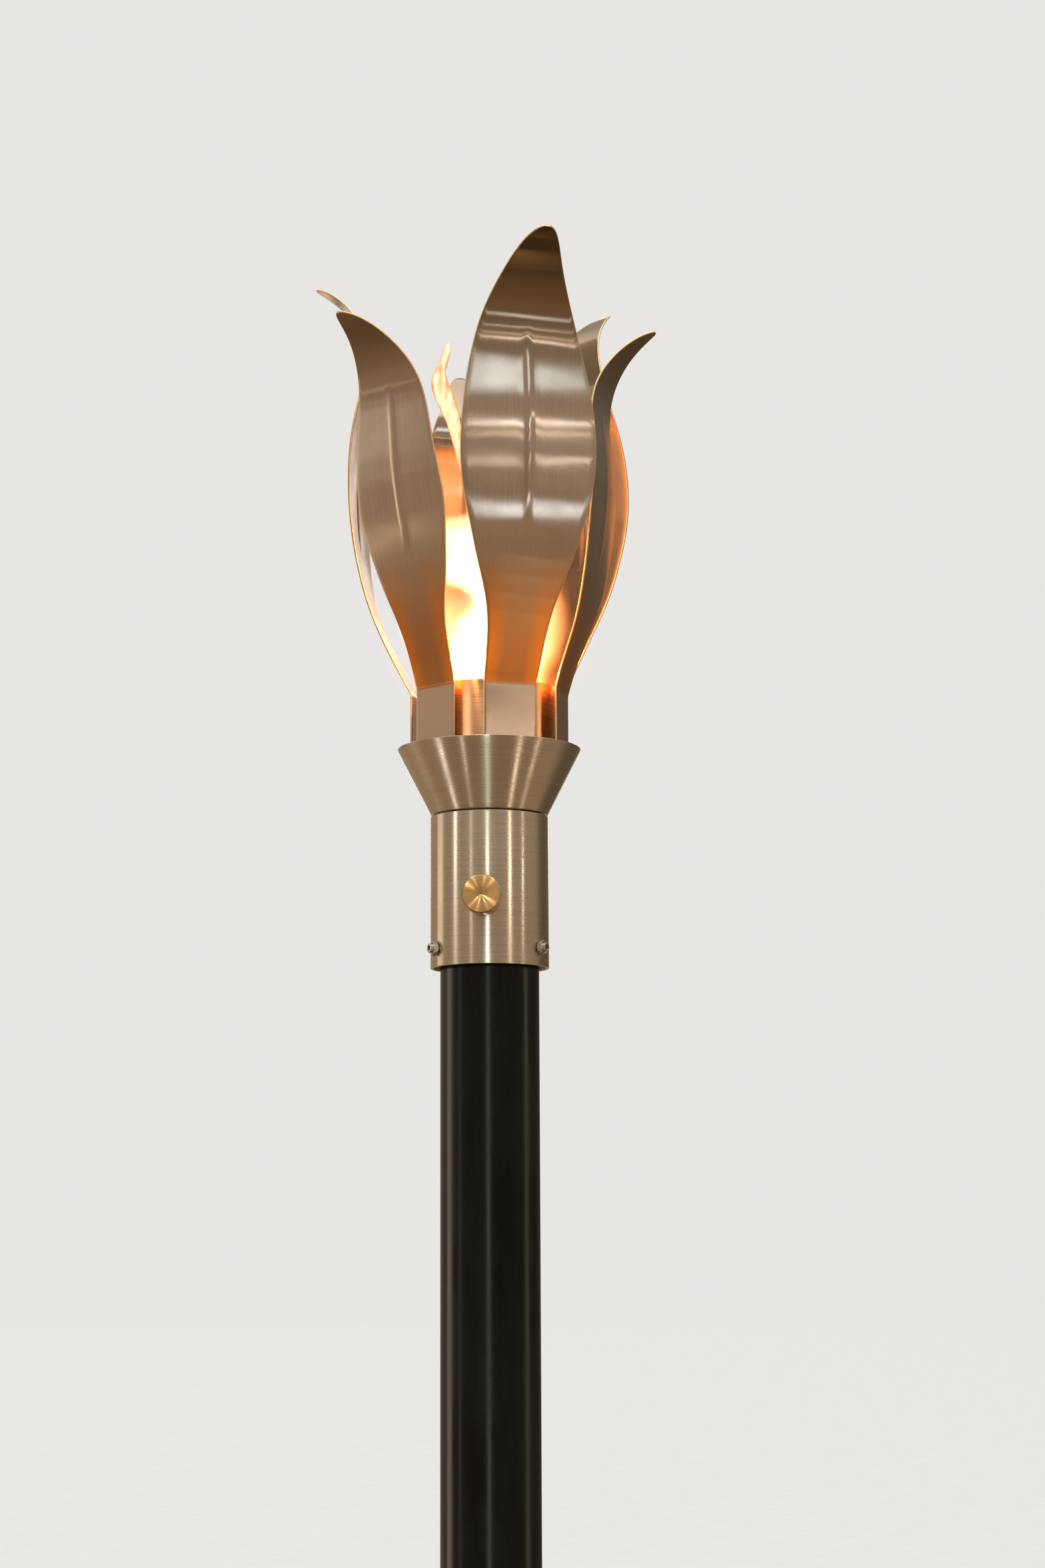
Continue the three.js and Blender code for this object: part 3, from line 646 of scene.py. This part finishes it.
def make_knob():
    """The turned brass knob: a faintly dished face, a bright chamfer and a groove near the back."""
    rim, depth = KNOB_RADIUS, 0.25 * MM
    bore = STEM_RADIUS + GAP
    outline = rounded([
        (bore, KNOB_BACK, 0.2 * MM), (rim - 0.6 * MM, KNOB_BACK, 0),
        (rim, KNOB_BACK + 0.6 * MM, 0.2 * MM), (rim, KNOB_BACK + 2 * MM, 0),
        (rim - 0.35 * MM, KNOB_BACK + 2.25 * MM, 0), (rim - 0.35 * MM, KNOB_BACK + 2.75 * MM, 0),
        (rim, KNOB_BACK + 3 * MM, 0), (rim, KNOB_FRONT - 0.8 * MM, 0.15 * MM),
        (rim - 0.8 * MM, KNOB_FRONT, 0.15 * MM), (rim * 0.5, KNOB_FRONT - depth * 0.3, 0),
        (1.2 * MM, KNOB_FRONT - depth, 0), (0.25 * MM, KNOB_FRONT - depth - 0.4 * MM, 0),
        (0.1 * MM, KNOB_BACK + 7.8 * MM, 0), (bore, KNOB_BACK + 7.7 * MM, 0)])
    middle = (KNOB_BACK + KNOB_FRONT) / 2 - 1 * MM
    upward = Matrix.Translation((0, -middle, VALVE_HEIGHT))
    turned("knob_body", "control_knob", outline, 144, facing(0, VALVE_HEIGHT),
           [(upward, 1.6 * MM, STEM_RADIUS, KNOB_RADIUS + 1 * MM)])


# ---- collar, cup and burner

SEAM_AZIMUTH = -56  # where the collar's rolled sheet meets


def make_collar():
    """The rolled cone: a soft fold at its foot, a rounded rim and a dressed seam with its dents."""
    low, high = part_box("flared_collar")
    foot, rim, rim_radius = low.z, high.z, high.x
    foot_radius = 37.5 * MM
    side = SHEET * 1.12
    outline = rounded([
        (MIXER_HOLE, foot, 0.2 * MM), (foot_radius, foot, 1.4 * MM),
        (rim_radius, rim, 0.42 * MM), (rim_radius - side, rim, 0.42 * MM),
        (foot_radius - side + SHEET / 2, foot + SHEET, 0.5 * MM),
        (MIXER_HOLE, foot + SHEET, 0.2 * MM)], 5)
    seam = radians(SEAM_AZIMUTH - 90)

    def dress(radii, heights, angles):
        off = (angles - seam + pi) % (2 * pi) - pi
        wall = smoothstep(radii, foot_radius - 2 * MM, foot_radius + 2 * MM)
        arc = off * radii
        wavy = 0.35 * MM * np.sin(heights * 520) + 0.2 * MM * np.sin(heights * 1270 + 1)
        line = np.exp(-((arc - wavy) / (0.45 * MM)) ** 2) * 0.14 * MM
        dent = 0.35 * MM * np.exp(-(arc / (7 * MM)) ** 2) * (0.6 + 0.4 * np.sin(heights * 310))
        roll = 0.1 * MM * np.sin(angles * 11 + 0.7) * np.sin(angles * 3)
        return radii - wall * (line + dent * 0.6 + 0.5 * roll + 0.05 * MM), heights

    turned("collar_cone", "flared_collar", divided(outline, 2.2 * MM), 384, shape=dress)


def rivet_holes(inner, outer):
    return [(facing(petal[1], RIVET_HEIGHT), RIVET_HOLE, inner, outer) for petal in PETALS]


def make_cup():
    low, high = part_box("burner_cup")
    radius = high.x
    outline = rounded([
        (MIXER_HOLE, low.z, 0.2 * MM), (radius, low.z, 1.6 * MM), (radius, high.z, 0.5 * MM),
        (radius - SHEET, high.z, 0.5 * MM), (radius - SHEET, low.z + SHEET, 1 * MM),
        (MIXER_HOLE, low.z + SHEET, 0.2 * MM)], 5)
    holes = rivet_holes(radius - 5 * MM, radius + 2 * MM)
    turned("burner_cup_shell", "burner_cup", outline, 160, holes=holes, hole_sides=24)


def make_ring():
    low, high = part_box("petal_ring")
    inner = CUP_RADIUS + GAP
    outline = tube_outline(inner, high.x, low.z, high.z, 0.4 * MM)
    holes = rivet_holes(inner - 3 * MM, high.x + 2 * MM)
    turned("petal_ring_band", "petal_ring", outline, 160, holes=holes, hole_sides=24)


def make_burner_head():
    """The cast burner cap with a ring of flame ports."""
    low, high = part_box("burner_head")
    radius, wall = high.x, 2 * MM
    shoulder = low.z + 6 * MM
    outline = rounded([(MIXER_HOLE, low.z, 0.2 * MM), (MIXER_HOLE + wall, low.z, 0.2 * MM),
        (MIXER_HOLE + wall, shoulder, 0.5 * MM), (radius, shoulder + 6 * MM, 1 * MM),
        (radius, high.z - 0.05 * MM, 1.2 * MM), (0.15 * MM, high.z, 0),
        (0.15 * MM, high.z - wall, 0), (radius - wall, high.z - wall, 0.6 * MM),
        (radius - wall, shoulder + 6 * MM + wall, 0.6 * MM), (MIXER_HOLE, shoulder + wall, 0)])
    ports = [(turn(i * 45, "Z") @ Matrix.Translation((radius * 0.72, 0, 0)), 2.5 * MM,
              high.z - 4 * MM, high.z + 2 * MM) for i in range(8)]
    turned("burner_head_cap", "burner_head", outline, 128, holes=ports, hole_sides=20)


# ---- petals and rivets


def sampler(stations, values):
    """The same smooth curve through the stations as the CAD model uses: its slope at a station is
    that of the chord between its neighbours, and its ends don't bend."""
    def at(t):
        i = min(max(int(np.searchsorted(stations, t, side="right")), 1), len(stations) - 1)
        t0, t1 = stations[i - 1], stations[i]
        first, last = i == 1, i == len(stations) - 1
        before, t_before = (values[i], t1) if first else (values[i - 2], stations[i - 2])
        after, t_after = (values[i - 1], t0) if last else (values[i + 1], stations[i + 1])
        half = (t1 - t0) / 2
        wp, wn = half / (t0 - t_before), half / (t_after - t1)
        p = (t - t0) / (t1 - t0)
        return ((-wp * p ** 3 + 2 * wp * p ** 2 - wp * p) * before
                + ((1 + wp) * p ** 3 - (1.5 + 2 * wp) * p ** 2 + (wp - 0.5) * p + 1) * values[i - 1]
                + ((-1 - wn) * p ** 3 + (1.5 + wn) * p ** 2 + 0.5 * p) * values[i]
                + (wn * p ** 3 - wn * p ** 2) * after)
    return at


STEPS = 200  # steps along a blade from the bend to the tip
TIP = 199 / STEPS


def petal_rows(shape, curl, sway):
    """Rows from the tab's foot to the tip: reach, height, lean, turn, half width, rib and dish."""
    lean_at = sampler(LEAN_STATIONS, shape["lean"])
    width_at = sampler(WIDTH_STATIONS, shape["half_width"])
    rows = []
    for rise in (0, 0.15, 0.5, 1, 1.8, 3):
        inset = TAB_CORNER - sqrt(TAB_CORNER ** 2 - (TAB_CORNER - rise * MM) ** 2)
        rows.append((TAB_REACH, TAB_FOOT + rise * MM, 0, 0, TAB_HALF_WIDTH - inset, 0, 0))
    soft = 1.6 * MM
    for height in np.linspace(TAB_FOOT + 3 * MM, TAB_BEND - soft, 12)[1:]:
        rows.append((TAB_REACH, height, 0, 0, TAB_HALF_WIDTH, 0, 0))
    reach, height = TAB_REACH, TAB_BEND - soft
    first_lean = radians(lean_at(0))
    for share in (0.25, 0.5, 0.75, 1):
        lean = first_lean * smoothstep(share, 0, 1)
        reach += sin(lean - first_lean / 8) * soft / 2
        height += cos(lean - first_lean / 8) * soft / 2
        rows.append((reach, height, lean, 0, TAB_HALF_WIDTH, 0, 0))
    step = shape["length"] / STEPS
    reach, height = TAB_REACH, TAB_BEND
    for i in range(1, STEPS):
        station = i / STEPS
        lean = radians(lean_at(station) + curl * station)
        reach += sin(lean) * step
        height += cos(lean) * step
        if i * step < 2 * soft or (i % 2 and i < STEPS - 14):
            continue
        rib = (smoothstep(station, RIB_START, RIB_START + 0.1)
               * (1 - smoothstep(station, RIB_END - 0.1, RIB_END)))
        rows.append((reach, height, lean, radians(sway * smoothstep(station, 0, 0.3)),
            width_at(station) * MM * sqrt(max(0, 1 - (station / TIP * 0.9985) ** 14)),
            RIB_HEIGHT * rib, DISH * smoothstep(station, 0, 0.2)))
    return np.array(rows)


def petal_section(half_width):
    """One row's closed section, flat: places across it and offsets from the sheet's middle."""
    edge = min(0.4 * MM, half_width * 0.4)
    rib = min(RIB_HALF_WIDTH, half_width * 0.3)
    side = half_width - edge
    inner = np.array([0, 0.25, 0.5, 0.75, 1]) * rib
    outer = rib + (side - rib) * np.linspace(0, 1, 10)[1:]
    half = np.concatenate([inner, outer])
    flat = np.concatenate([-half[:0:-1], half])
    bend = np.radians([30, 60, 90])
    face = SHEET / 2
    round_x = side + edge * np.sin(bend)
    round_y = face - edge * (1 - np.cos(bend))
    across = np.concatenate([flat, round_x, round_x[::-1], flat[::-1], -round_x, -round_x[::-1]])
    offset = np.concatenate([np.full(len(flat), face), round_y, -round_y[::-1], np.full(len(flat), -face),
        -round_y, round_y[::-1]])
    return across, offset, len(flat), rib


def make_petal(number, shape, azimuth, curl, sway):
    rows = petal_rows(shape, curl, sway)
    points, along, travelled, previous = [], [], 0, rows[0, :2]
    for reach, height, lean, twist, half_width, rib_height, dish in rows:
        across, offset, flat_count, rib = petal_section(half_width)
        swell = np.clip(1 - np.abs(across) / rib, 0, 1)
        off = offset + rib_height * smoothstep(swell, 0, 1) - dish * (across / WIDEST) ** 2
        distance = reach + off * cos(lean)
        points += np.stack([across * cos(twist) + distance * sin(twist),
                            across * sin(twist) - distance * cos(twist),
                            height - off * sin(lean)], -1).tolist()
        travelled += hypot(reach - previous[0], height - previous[1])
        previous = (reach, height)
        along.append((across, travelled))
    ring = len(along[0][0])
    faces = quads(len(rows), ring)[:-ring]
    rounded_edge = [not (c < flat_count - 1 or flat_count + 6 <= c < 2 * flat_count + 5)
                    for c in range(ring)]
    kinds = rounded_edge * (len(rows) - 1) + [True, True]
    uvs = [(along[r + v][0][(c + u) % ring], along[r + v][1])
           for r in range(len(rows) - 1) for c in range(ring) for u, v in CORNERS]
    for r, order in ((0, -1), (len(rows) - 1, 1)):
        corners = list(range(r * ring, (r + 1) * ring))[::order]
        faces.append(corners)
        uvs += [(along[r][0][c % ring], along[r][1]) for c in corners]
    node = f"petal_{number}"
    piece = add_mesh(f"{node}_blade", points, faces, uvs, [material_of(node), CUT_EDGE_PAINTED_GLOW], kinds)
    drill(piece, (facing(0, RIVET_HEIGHT), RIVET_HOLE, TAB_REACH - 4 * MM,
                  TAB_REACH + 4 * MM), segments=24)
    piece.data.transform(turn(azimuth, "Z"))
    stands_for(piece, node)


def make_rivet(number, azimuth):
    """A domed rivet: its head outside the tab, its clinched tail inside the cup."""
    head = TAB_REACH + SHEET / 2 + GAP
    tail = CUP_RADIUS - SHEET - GAP
    shank, cap, rise = 2 * MM, 4.2 * MM, 2 * MM
    dome = [(cap * cos(a), head + 0.25 * MM + (rise - 0.25 * MM) * sin(a))
            for a in np.linspace(0, pi / 2, 10)[:-1]]
    outline = [(0, tail - 1.6 * MM), (2.2 * MM, tail - 1.6 * MM), (2.8 * MM, tail - 1.3 * MM),
               (3.3 * MM, tail - 0.5 * MM), (3.4 * MM, tail), (shank, tail), (shank, head),
               (cap, head), *dome, (0, head + rise)]
    node = f"petal_rivet_{number}"
    turned(f"{node}_body", node, outline, 48, facing(azimuth, RIVET_HEIGHT))


# ---- nodes that stay


def dress_cad_nodes():
    """Nodes whose CAD shape stays get a softened edge, smooth walls and their slot's material."""
    for name, node in frame["nodes"].items():
        if node.hide_render:
            continue
        mesh = node.data
        mesh.materials.clear()
        mesh.materials.append(material_of(name))
        if "custom_normal" in mesh.attributes:
            mesh.attributes.remove(mesh.attributes["custom_normal"])
        mesh.polygons.foreach_set("use_smooth", [True] * len(mesh.polygons))
        weld = node.modifiers.new("weld", "WELD")
        weld.merge_threshold = 0.002 * MM
        bevel = node.modifiers.new("edges", "BEVEL")
        bevel.width = 0.8 * MM if name == "base_plate" else 0.18 * MM
        bevel.segments, bevel.harden_normals = 3, True
        bevel.limit_method, bevel.angle_limit = "ANGLE", radians(40)


# ---- flame, floor and light

# The volume that the flame burns in: radius and height over its foot, millimetres.
FLAME_HULL = [(42, 0), (42, 14), (50, 24), (62, 60), (66, 100), (40, 136)]
# The flame's own outline: share of its height, share of its widest radius.
FLAME_CURVE = [(0, 0.7), (0.14, 0.74), (0.4, 0.96), (0.65, 0.92), (0.85, 0.55), (1, 0.1)]
FLAME_WIDEST = 56 * MM
FLAME_RED, FLAME_GOLD = (1, 0.24, 0.03), (1, 0.68, 0.34)
FLAME_POWER = (260, 110)  # at its foot and at its top
# A cooler hole through the flame, from front to back: half its width and height, place.
NOTCH_WIDE, NOTCH_HIGH = 20 * MM, 13 * MM
NOTCH_ACROSS, NOTCH_HEIGHT = -32 * MM, TAB_BEND + 70 * MM


def make_flame():
    """A burning volume inside the petals. It belongs to the stage, not to the torch."""
    foot, height = CUP_TOP - 12 * MM, 136 * MM
    outline = [(0, foot), *((r * MM, foot + z * MM) for r, z in FLAME_HULL), (0, foot + height)]
    look = Shader("flame")
    place = look.place()
    rise = look.spread(look.parts(place)["Z"], 0, 1, foot, foot + height)
    lick = look.node("TexNoise", {
        "Vector": look.scaled(place, (24, 24, 15)), "Scale": 1, "Detail": 1})
    push = look.vector("SUBTRACT", lick.outputs["Color"], (0.5, 0.5, 0.5))
    sway = look.vector("SCALE", push, look.spread(rise, 0.006, 0.12))
    bent = look.vector("ADD", place, sway)
    radius = look.vector("LENGTH", look.scaled(bent, (1, 1, 0)))
    reach = look.node("FloatCurve", {"Value": rise})
    points = reach.mapping.curves[0].points
    points[0].location, points[-1].location = FLAME_CURVE[0], FLAME_CURVE[-1]
    for x, y in FLAME_CURVE[1:-1]:
        points.new(x, y)
    reach.mapping.update()
    limit = look.times(reach.outputs[0], FLAME_WIDEST)
    inside = look.math("SUBTRACT", 1, look.math("DIVIDE", radius, limit))
    heat = look.spread(inside, 0, 1, 0, 0.55)
    colour = look.blend(heat, FLAME_RED, FLAME_GOLD)
    hollow = look.spread(look.cloud(21, 15, detail=1), 0.04, 1, 0.42, 0.56)
    notch = look.vector("SUBTRACT", look.scaled(place, (1 / NOTCH_WIDE, 0, 1 / NOTCH_HIGH)),
                        (NOTCH_ACROSS / NOTCH_WIDE, 0, NOTCH_HEIGHT / NOTCH_HIGH))
    apart = look.spread(look.vector("LENGTH", notch), 0, 1, 0.85, 1.15)
    power = look.times(heat, hollow, apart, look.spread(rise, *FLAME_POWER),
                       look.spread(look.seen(), 0.5, 1))
    glowing(look, colour, power)
    revolve("flame", outline, look.material, 48)
    for name, level, watts in (("low", 30, 1.1), ("high", 95, 0.9)):
        add_glow("flame_" + name, (0, 0, foot + level * MM), 14 * MM, watts)
    places = [azimuth for _, azimuth, _, _ in PETALS]
    for i, (first, second) in enumerate(zip(places, places[1:] + [places[0] + 360])):
        spill = facing((first + second) / 2, foot + 22 * MM) @ Vector((0, 0, 48 * MM))
        add_glow(f"flame_spill_{i}", spill, 2.5 * MM, 0.06)


def egg(name, look, radius, middle, half):
    """A stage volume that is round in plan and oval from the side."""
    outline = [(radius * sin(a), middle - half * cos(a)) for a in np.linspace(0, pi, 13)]
    outline[0], outline[-1] = (0, middle - half), (0, middle + half)
    return revolve(name, outline, look.material, 32)


def make_haze():
    """A glow in the air round the flame, seen only by the camera: painted glow laid over the petals'
    feet.
    """
    middle, reach, half = TAB_BEND + 34 * MM, 84 * MM, 60 * MM
    look = Shader("haze")
    scale = (1 / reach, 1 / reach, 1 / half)
    local = look.vector("SUBTRACT", look.scaled(look.place(), scale), (0, 0, middle / half))
    fade = look.math("POWER", look.spread(look.vector("LENGTH", local), 1, 0), 1.6)
    power = look.times(fade, look.seen(), 5)
    glowing(look, (1, 0.27, 0.035, 1), power)
    egg("flame_haze", look, reach, middle, half)


def make_hearth():
    """The lit air between the petals, which only their inner faces mirror."""
    look = Shader("hearth")
    glowing(look, (1, 0.4, 0.12, 1), 14)
    half = 95 * MM
    hearth = egg("flame_hearth", look, 46 * MM, TAB_BEND + 4 * MM + half, half)
    hearth.visible_camera = hearth.visible_diffuse = hearth.visible_shadow = False


def glowing(look, colour, power):
    """Turns a material into a volume that only gives light."""
    emission = look.node("Emission", {"Color": colour, "Strength": power})
    output = look.tree.nodes["Material Output"]
    look.tree.links.remove(output.inputs["Surface"].links[0])
    look.put(emission.outputs[0], output.inputs["Volume"])
    look.material.cycles.volume_step_rate = 0.25


def add_glow(name, position, radius, power):
    light = bpy.data.lights.new(name, "POINT")
    light.energy, light.color = power, (1, 0.42, 0.12)
    light.shadow_soft_size = radius
    made = link(name, light)
    made.location = position
    made.visible_camera = False


# The wisp that breaks away from the flame: across and up from the sleeve's foot, and half width.
WISP = [(-14, 318, 1), (-18, 336, 2.4), (-20.5, 352, 3.6), (-24, 368, 4.6), (-30, 382, 5.6),
        (-34, 393, 5), (-31, 402, 3.8), (-28, 410, 3.6), (-26.5, 418, 1)]


def make_wisp():
    """A thin curling tongue of flame, bright in its middle and orange towards its outline."""
    rows = np.array(WISP) * MM
    steps = np.linspace(0, len(rows) - 1, 60)
    blur = np.full(9, 1 / 9)
    across, rise, width = (
        np.convolve(np.pad(np.interp(steps, range(len(rows)), column), 4, "edge"), blur, "valid")
        for column in rows.T)
    sides = 20
    points = [(x + half * cos(a), half * 0.7 * sin(a), z + SLEEVE_FOOT + half * 0.5 * cos(a))
              for x, z, half in zip(across, rise, width)
              for a in np.arange(sides) * 2 * pi / sides]
    faces = quads(len(steps), sides)[:-sides]
    look = Shader("wisp")
    streak = look.cloud(260, 60, detail=3)
    rim = look.node("LayerWeight", {"Blend": 0.35}).outputs["Facing"]
    heat = look.math("SUBTRACT", look.spread(streak, 0.45, 1.15, 0.3, 0.7), rim)
    colour = look.blend(look.spread(heat, 0, 1, 0.1, 0.8), (1, 0.17, 0.03), (1, 0.66, 0.36))
    glow = look.node("Emission", {"Color": colour, "Strength": look.spread(heat, 0.9, 1.9)})
    clear = look.node("BsdfTransparent")
    veil = look.node("MixShader", {0: look.spread(heat, 0, 1, -0.3, 0.1),
                                   1: clear.outputs[0], 2: glow.outputs[0]})
    look.put(veil.outputs[0], look.tree.nodes["Material Output"].inputs["Surface"])
    wisp = add_mesh("wisp", points, faces, [(0, 0)] * 4 * len(faces), [look.material])
    wisp.matrix_world = turn(CAMERA_AZIMUTH, "Z")


def make_floor():
    look = Shader("floor", Roughness=0.8)
    grain = look.cloud(6, 6, detail=6)
    tone = look.blend(grain, (0.74, 0.73, 0.71), (0.8, 0.79, 0.77))
    radius, thick = 60, 0.02
    outline = [(0, -thick), (radius, -thick), (radius, 0), (0, 0)]
    floor = revolve("floor", outline, look.drive(Base_Color=tone), 96)
    floor.location.z = -0.0005
    floor.visible_glossy = False


# Lamps round the torch: azimuth from the camera, elevation seen from the petals, width, height,
# brightness, colour and, for those that are tipped, roll.
CREAM, WARM, COOL = (1, 0.95, 0.87), (1, 0.84, 0.62), (0.9, 1, 0.93)
SKY, ROSE, LIME = (0.72, 0.89, 1), (1, 0.8, 0.68), (0.95, 1, 0.55)
AMBER = (1, 0.6, 0.28)
LAMP_DISTANCE = 2.8
LAMPS = [(-112, 3, 0.9, 1.4, 0.9, WARM), (171, 16, 0.5, 1.4, 1.3, CREAM),
         (-172, 6, 0.14, 0.6, 4, WARM), (179, 24, 0.1, 0.5, 4, CREAM)]
# Tall ones draw the upright streaks on the sleeve, low ones those on the collar.
STREAKS = [(-71, 12, 0.19, 0.5, 13, CREAM), (-36, 6, 0.04, 0.3, 30, CREAM),
           (-4, -12, 0.09, 2.2, 15, COOL), (9, 8, 0.03, 0.3, 5, WARM),
           (40, 5, 0.16, 0.4, 16, WARM), (68, 5, 0.05, 0.34, 20, CREAM),
           (-75, -36, 0.12, 0.4, 11, CREAM), (-39, -42, 0.05, 0.4, 10, CREAM),
           (47, -45, 0.14, 0.4, 7, WARM), (74, -38, 0.05, 0.4, 12, WARM)]
# Long level ones draw the bands across the petals.
BANDS = [(33, 29.8, 0.95, 0.22, 1.9, SKY, 10), (33, -3.5, 0.95, 0.16, 1.8, SKY, 10),
         (33, 17.5, 0.95, 0.024, 8.5, CREAM, 10), (33, 14, 0.95, 0.012, 8, WARM, 10),
         (33, 7.8, 0.95, 0.012, 8, CREAM, 10), (33, 11, 1, 0.9, 0.06, SKY, 0),
         (-90, 9, 1, 0.75, 0.12, CREAM, 0), (-90, 10, 1, 0.3, 0.12, CREAM, 0),
         (-90, -6, 0.9, 0.12, 0.4, WARM, 0), (60, 20, 0.7, 0.05, 2, CREAM, 0),
         (-172, 14, 1.2, 0.1, 3, CREAM, 0), (-172, 2, 1.2, 0.3, 1.6, WARM, 0)]
# Small ones draw the rays on the knob's turned face.
RAYS = [(-12, 7, 1.3, 0.65, 0.35, WARM), (-23.5, 10, 0.2, 0.1, 40, WARM),
        (-2, 13.7, 0.06, 0.03, 280, WARM), (-8.4, 18, 0.06, 0.03, 280, WARM),
        (-19.5, 16, 0.05, 0.025, 280, WARM)]
# Soft reflections in the black post.
POST_LAMPS = [(-108, -4, 0.8, 2.2, 3.2, ROSE), (-74, -4, 0.2, 2.2, 2.2, CREAM),
              (-4, -12, 0.14, 2.2, 9, COOL), (92, -4, 0.5, 2.2, 1.6, LIME)]
# Warm light on the cup between the petals' tabs.
CUP_LAMPS = [(-50, 4, 2, 1.2, 2.2, AMBER), (108, 4, 2, 1.2, 2, AMBER)]
# Strips close to the front petals' feet: how far down they stand, and height.
EMBERS = [(34, 0.07), (31, 0.1), (28, 0.14), (25, 0.18)]
EMBER_AZIMUTH, EMBER_DISTANCE, EMBER_WIDTH, EMBER_BRIGHTNESS = 33, 0.22, 0.09, 0.12


def light_only(lamp, lit, shades=()):
    """The lamp lights only these pieces. If shades are given, only they shade it."""
    for role, pieces in (("receiver", lit), ("blocker", shades)):
        if pieces:
            group = bpy.data.collections.new(f"{lamp.name}_{role}")
            for piece in pieces:
                group.objects.link(piece)
            setattr(lamp.light_linking, role + "_collection", group)


def add_lamp(name, position, target, width, height, brightness, colour, roll=0, only=(), shade=()):
    lamp = bpy.data.lights.new(name, "AREA")
    lamp.shape = "RECTANGLE"
    lamp.size, lamp.size_y = width, height
    lamp.energy = brightness * pi * width * height
    lamp.color = colour
    made = link(name, lamp)
    facing_target = (target - position).to_track_quat("-Z", "Y").to_matrix().to_4x4()
    made.matrix_world = Matrix.Translation(position) @ facing_target @ turn(roll, "Z")
    made.visible_camera = False
    light_only(made, only, shade)


def make_lights():
    target = Vector((0, 0, SLEEVE_FOOT + 0.27))
    pieces = bpy.context.scene.objects
    blades = [piece for piece in pieces if piece.name.endswith("_blade")]
    post, knob, floor = [pieces["post_tube"]], [pieces["knob_body"]], [pieces["floor"]]
    cup = [pieces["burner_cup_shell"]]
    others = blades + post + knob + floor
    lathed = [piece for piece in pieces if piece.type == "MESH" and piece not in others]
    for name, lamps, lit, shade in (
            ("lamp", LAMPS, lathed + blades, ()), ("streak", STREAKS, lathed, ()),
            ("band", BANDS, blades, ()), ("ray", RAYS, knob, ()),
            ("post_lamp", POST_LAMPS, post, ()), ("cup_lamp", CUP_LAMPS, cup, post)):
        for i, (azimuth, elevation, *settings) in enumerate(lamps):
            a, e = radians(azimuth + CAMERA_AZIMUTH), radians(elevation)
            distance = min(LAMP_DISTANCE, (target.z - 0.1) / max(-sin(e), 0.01))
            away = Vector((sin(a) * cos(e), -cos(a) * cos(e), sin(e)))
            add_lamp(f"{name}_{i}", target + away * distance, target, *settings, only=lit, shade=shade)
    feet = Vector((0, 0, TAB_BEND + 40 * MM))
    for i, (drop, height) in enumerate(EMBERS):
        ember = facing(CAMERA_AZIMUTH + EMBER_AZIMUTH) @ turn(drop, "X") @ Vector((0, 0, EMBER_DISTANCE))
        add_lamp(f"ember_{i}", feet + ember, feet, EMBER_WIDTH, height, EMBER_BRIGHTNESS,
                 AMBER, only=blades)
    add_lamp("overhead", Vector((0, 0, 5.5)), target, 5, 5, 1.3, (1, 0.97, 0.93),
             only=lathed + blades + post + knob)
    sun = bpy.data.lights.new("floor_light", "SUN")
    sun.energy, sun.color, sun.angle = 2.15, (0.8, 0.89, 1), radians(120)
    light_only(link("floor_light", sun), floor)


# Dark flags beside the torch: azimuth, where they start and end, and how dark they are.
FLAGS = [(140, 44, 10, 0.35), (0, 26, 6, 0.8)]
# What the metals mirror, by elevation.
SURROUNDINGS = [
    (-90, (0.12, 0.075, 0.038)), (-62, (0.17, 0.115, 0.06)), (-42, (0.32, 0.215, 0.12)),
    (-20, (0.4, 0.275, 0.165)), (0, (0.39, 0.285, 0.19)), (25, (0.43, 0.34, 0.25)),
    (90, (0.66, 0.61, 0.54))]
BACKDROP = (0.8, 0.79, 0.77)


def make_world():
    """Pale to the camera. What the metals mirror is a warm, dim surrounding with a dark ground."""
    world = bpy.data.worlds.new("world")
    bpy.context.scene.world = world
    world.use_nodes = True
    nodes = Nodes(world.node_tree)
    way = nodes.node("TexCoord").outputs["Generated"]
    ramp = nodes.node("ValToRGB", {0: nodes.spread(nodes.parts(way)["Z"], 0, 1, -1, 1)})
    while len(ramp.color_ramp.elements) < len(SURROUNDINGS):
        ramp.color_ramp.elements.new(0.5)
    for element, (elevation, colour) in zip(ramp.color_ramp.elements, SURROUNDINGS):
        element.position = (1 + sin(radians(elevation))) / 2
        element.color = (*colour, 1)
    shaded = ramp.outputs[0]
    for azimuth, start, end, dark in FLAGS:
        angle = radians(azimuth + CAMERA_AZIMUTH)
        side = nodes.vector("DOT_PRODUCT", way, (sin(angle), -cos(angle), 0))
        depth = nodes.spread(side, 1, dark, cos(radians(start)), cos(radians(end)),
                             interpolation_type="SMOOTHSTEP")
        shaded = nodes.vector("SCALE", shaded, depth)
    background = nodes.tree.nodes["Background"].inputs["Color"]
    nodes.put(nodes.blend(nodes.seen(), shaded, BACKDROP), background)


# ---- the torch

make_post()
make_weld()
make_sleeve()
for index, screw_azimuth in enumerate(SCREW_AZIMUTHS, 1):
    make_set_screw(index, screw_azimuth)
    hex_nut(f"set_screw_nut_{index}", NUT_CORNERS * sqrt(3) / 2, SCREW_RADIUS + GAP, NUT_THICK,
            facing(screw_azimuth, SCREW_HEIGHT))
hex_nut("bonnet_nut", BONNET_FLATS, BONNET_BORE, BONNET_THICK, facing(0, VALVE_HEIGHT))
make_knob()
make_collar()
make_cup()
make_ring()
make_burner_head()
for index, petal in enumerate(PETALS, 1):
    make_petal(index, *petal)
    make_rivet(index, petal[1])
dress_cad_nodes()

make_flame()
make_haze()
make_hearth()
make_wisp()
make_floor()
make_lights()
make_world()
bpy.context.scene.view_settings.view_transform = "Standard"
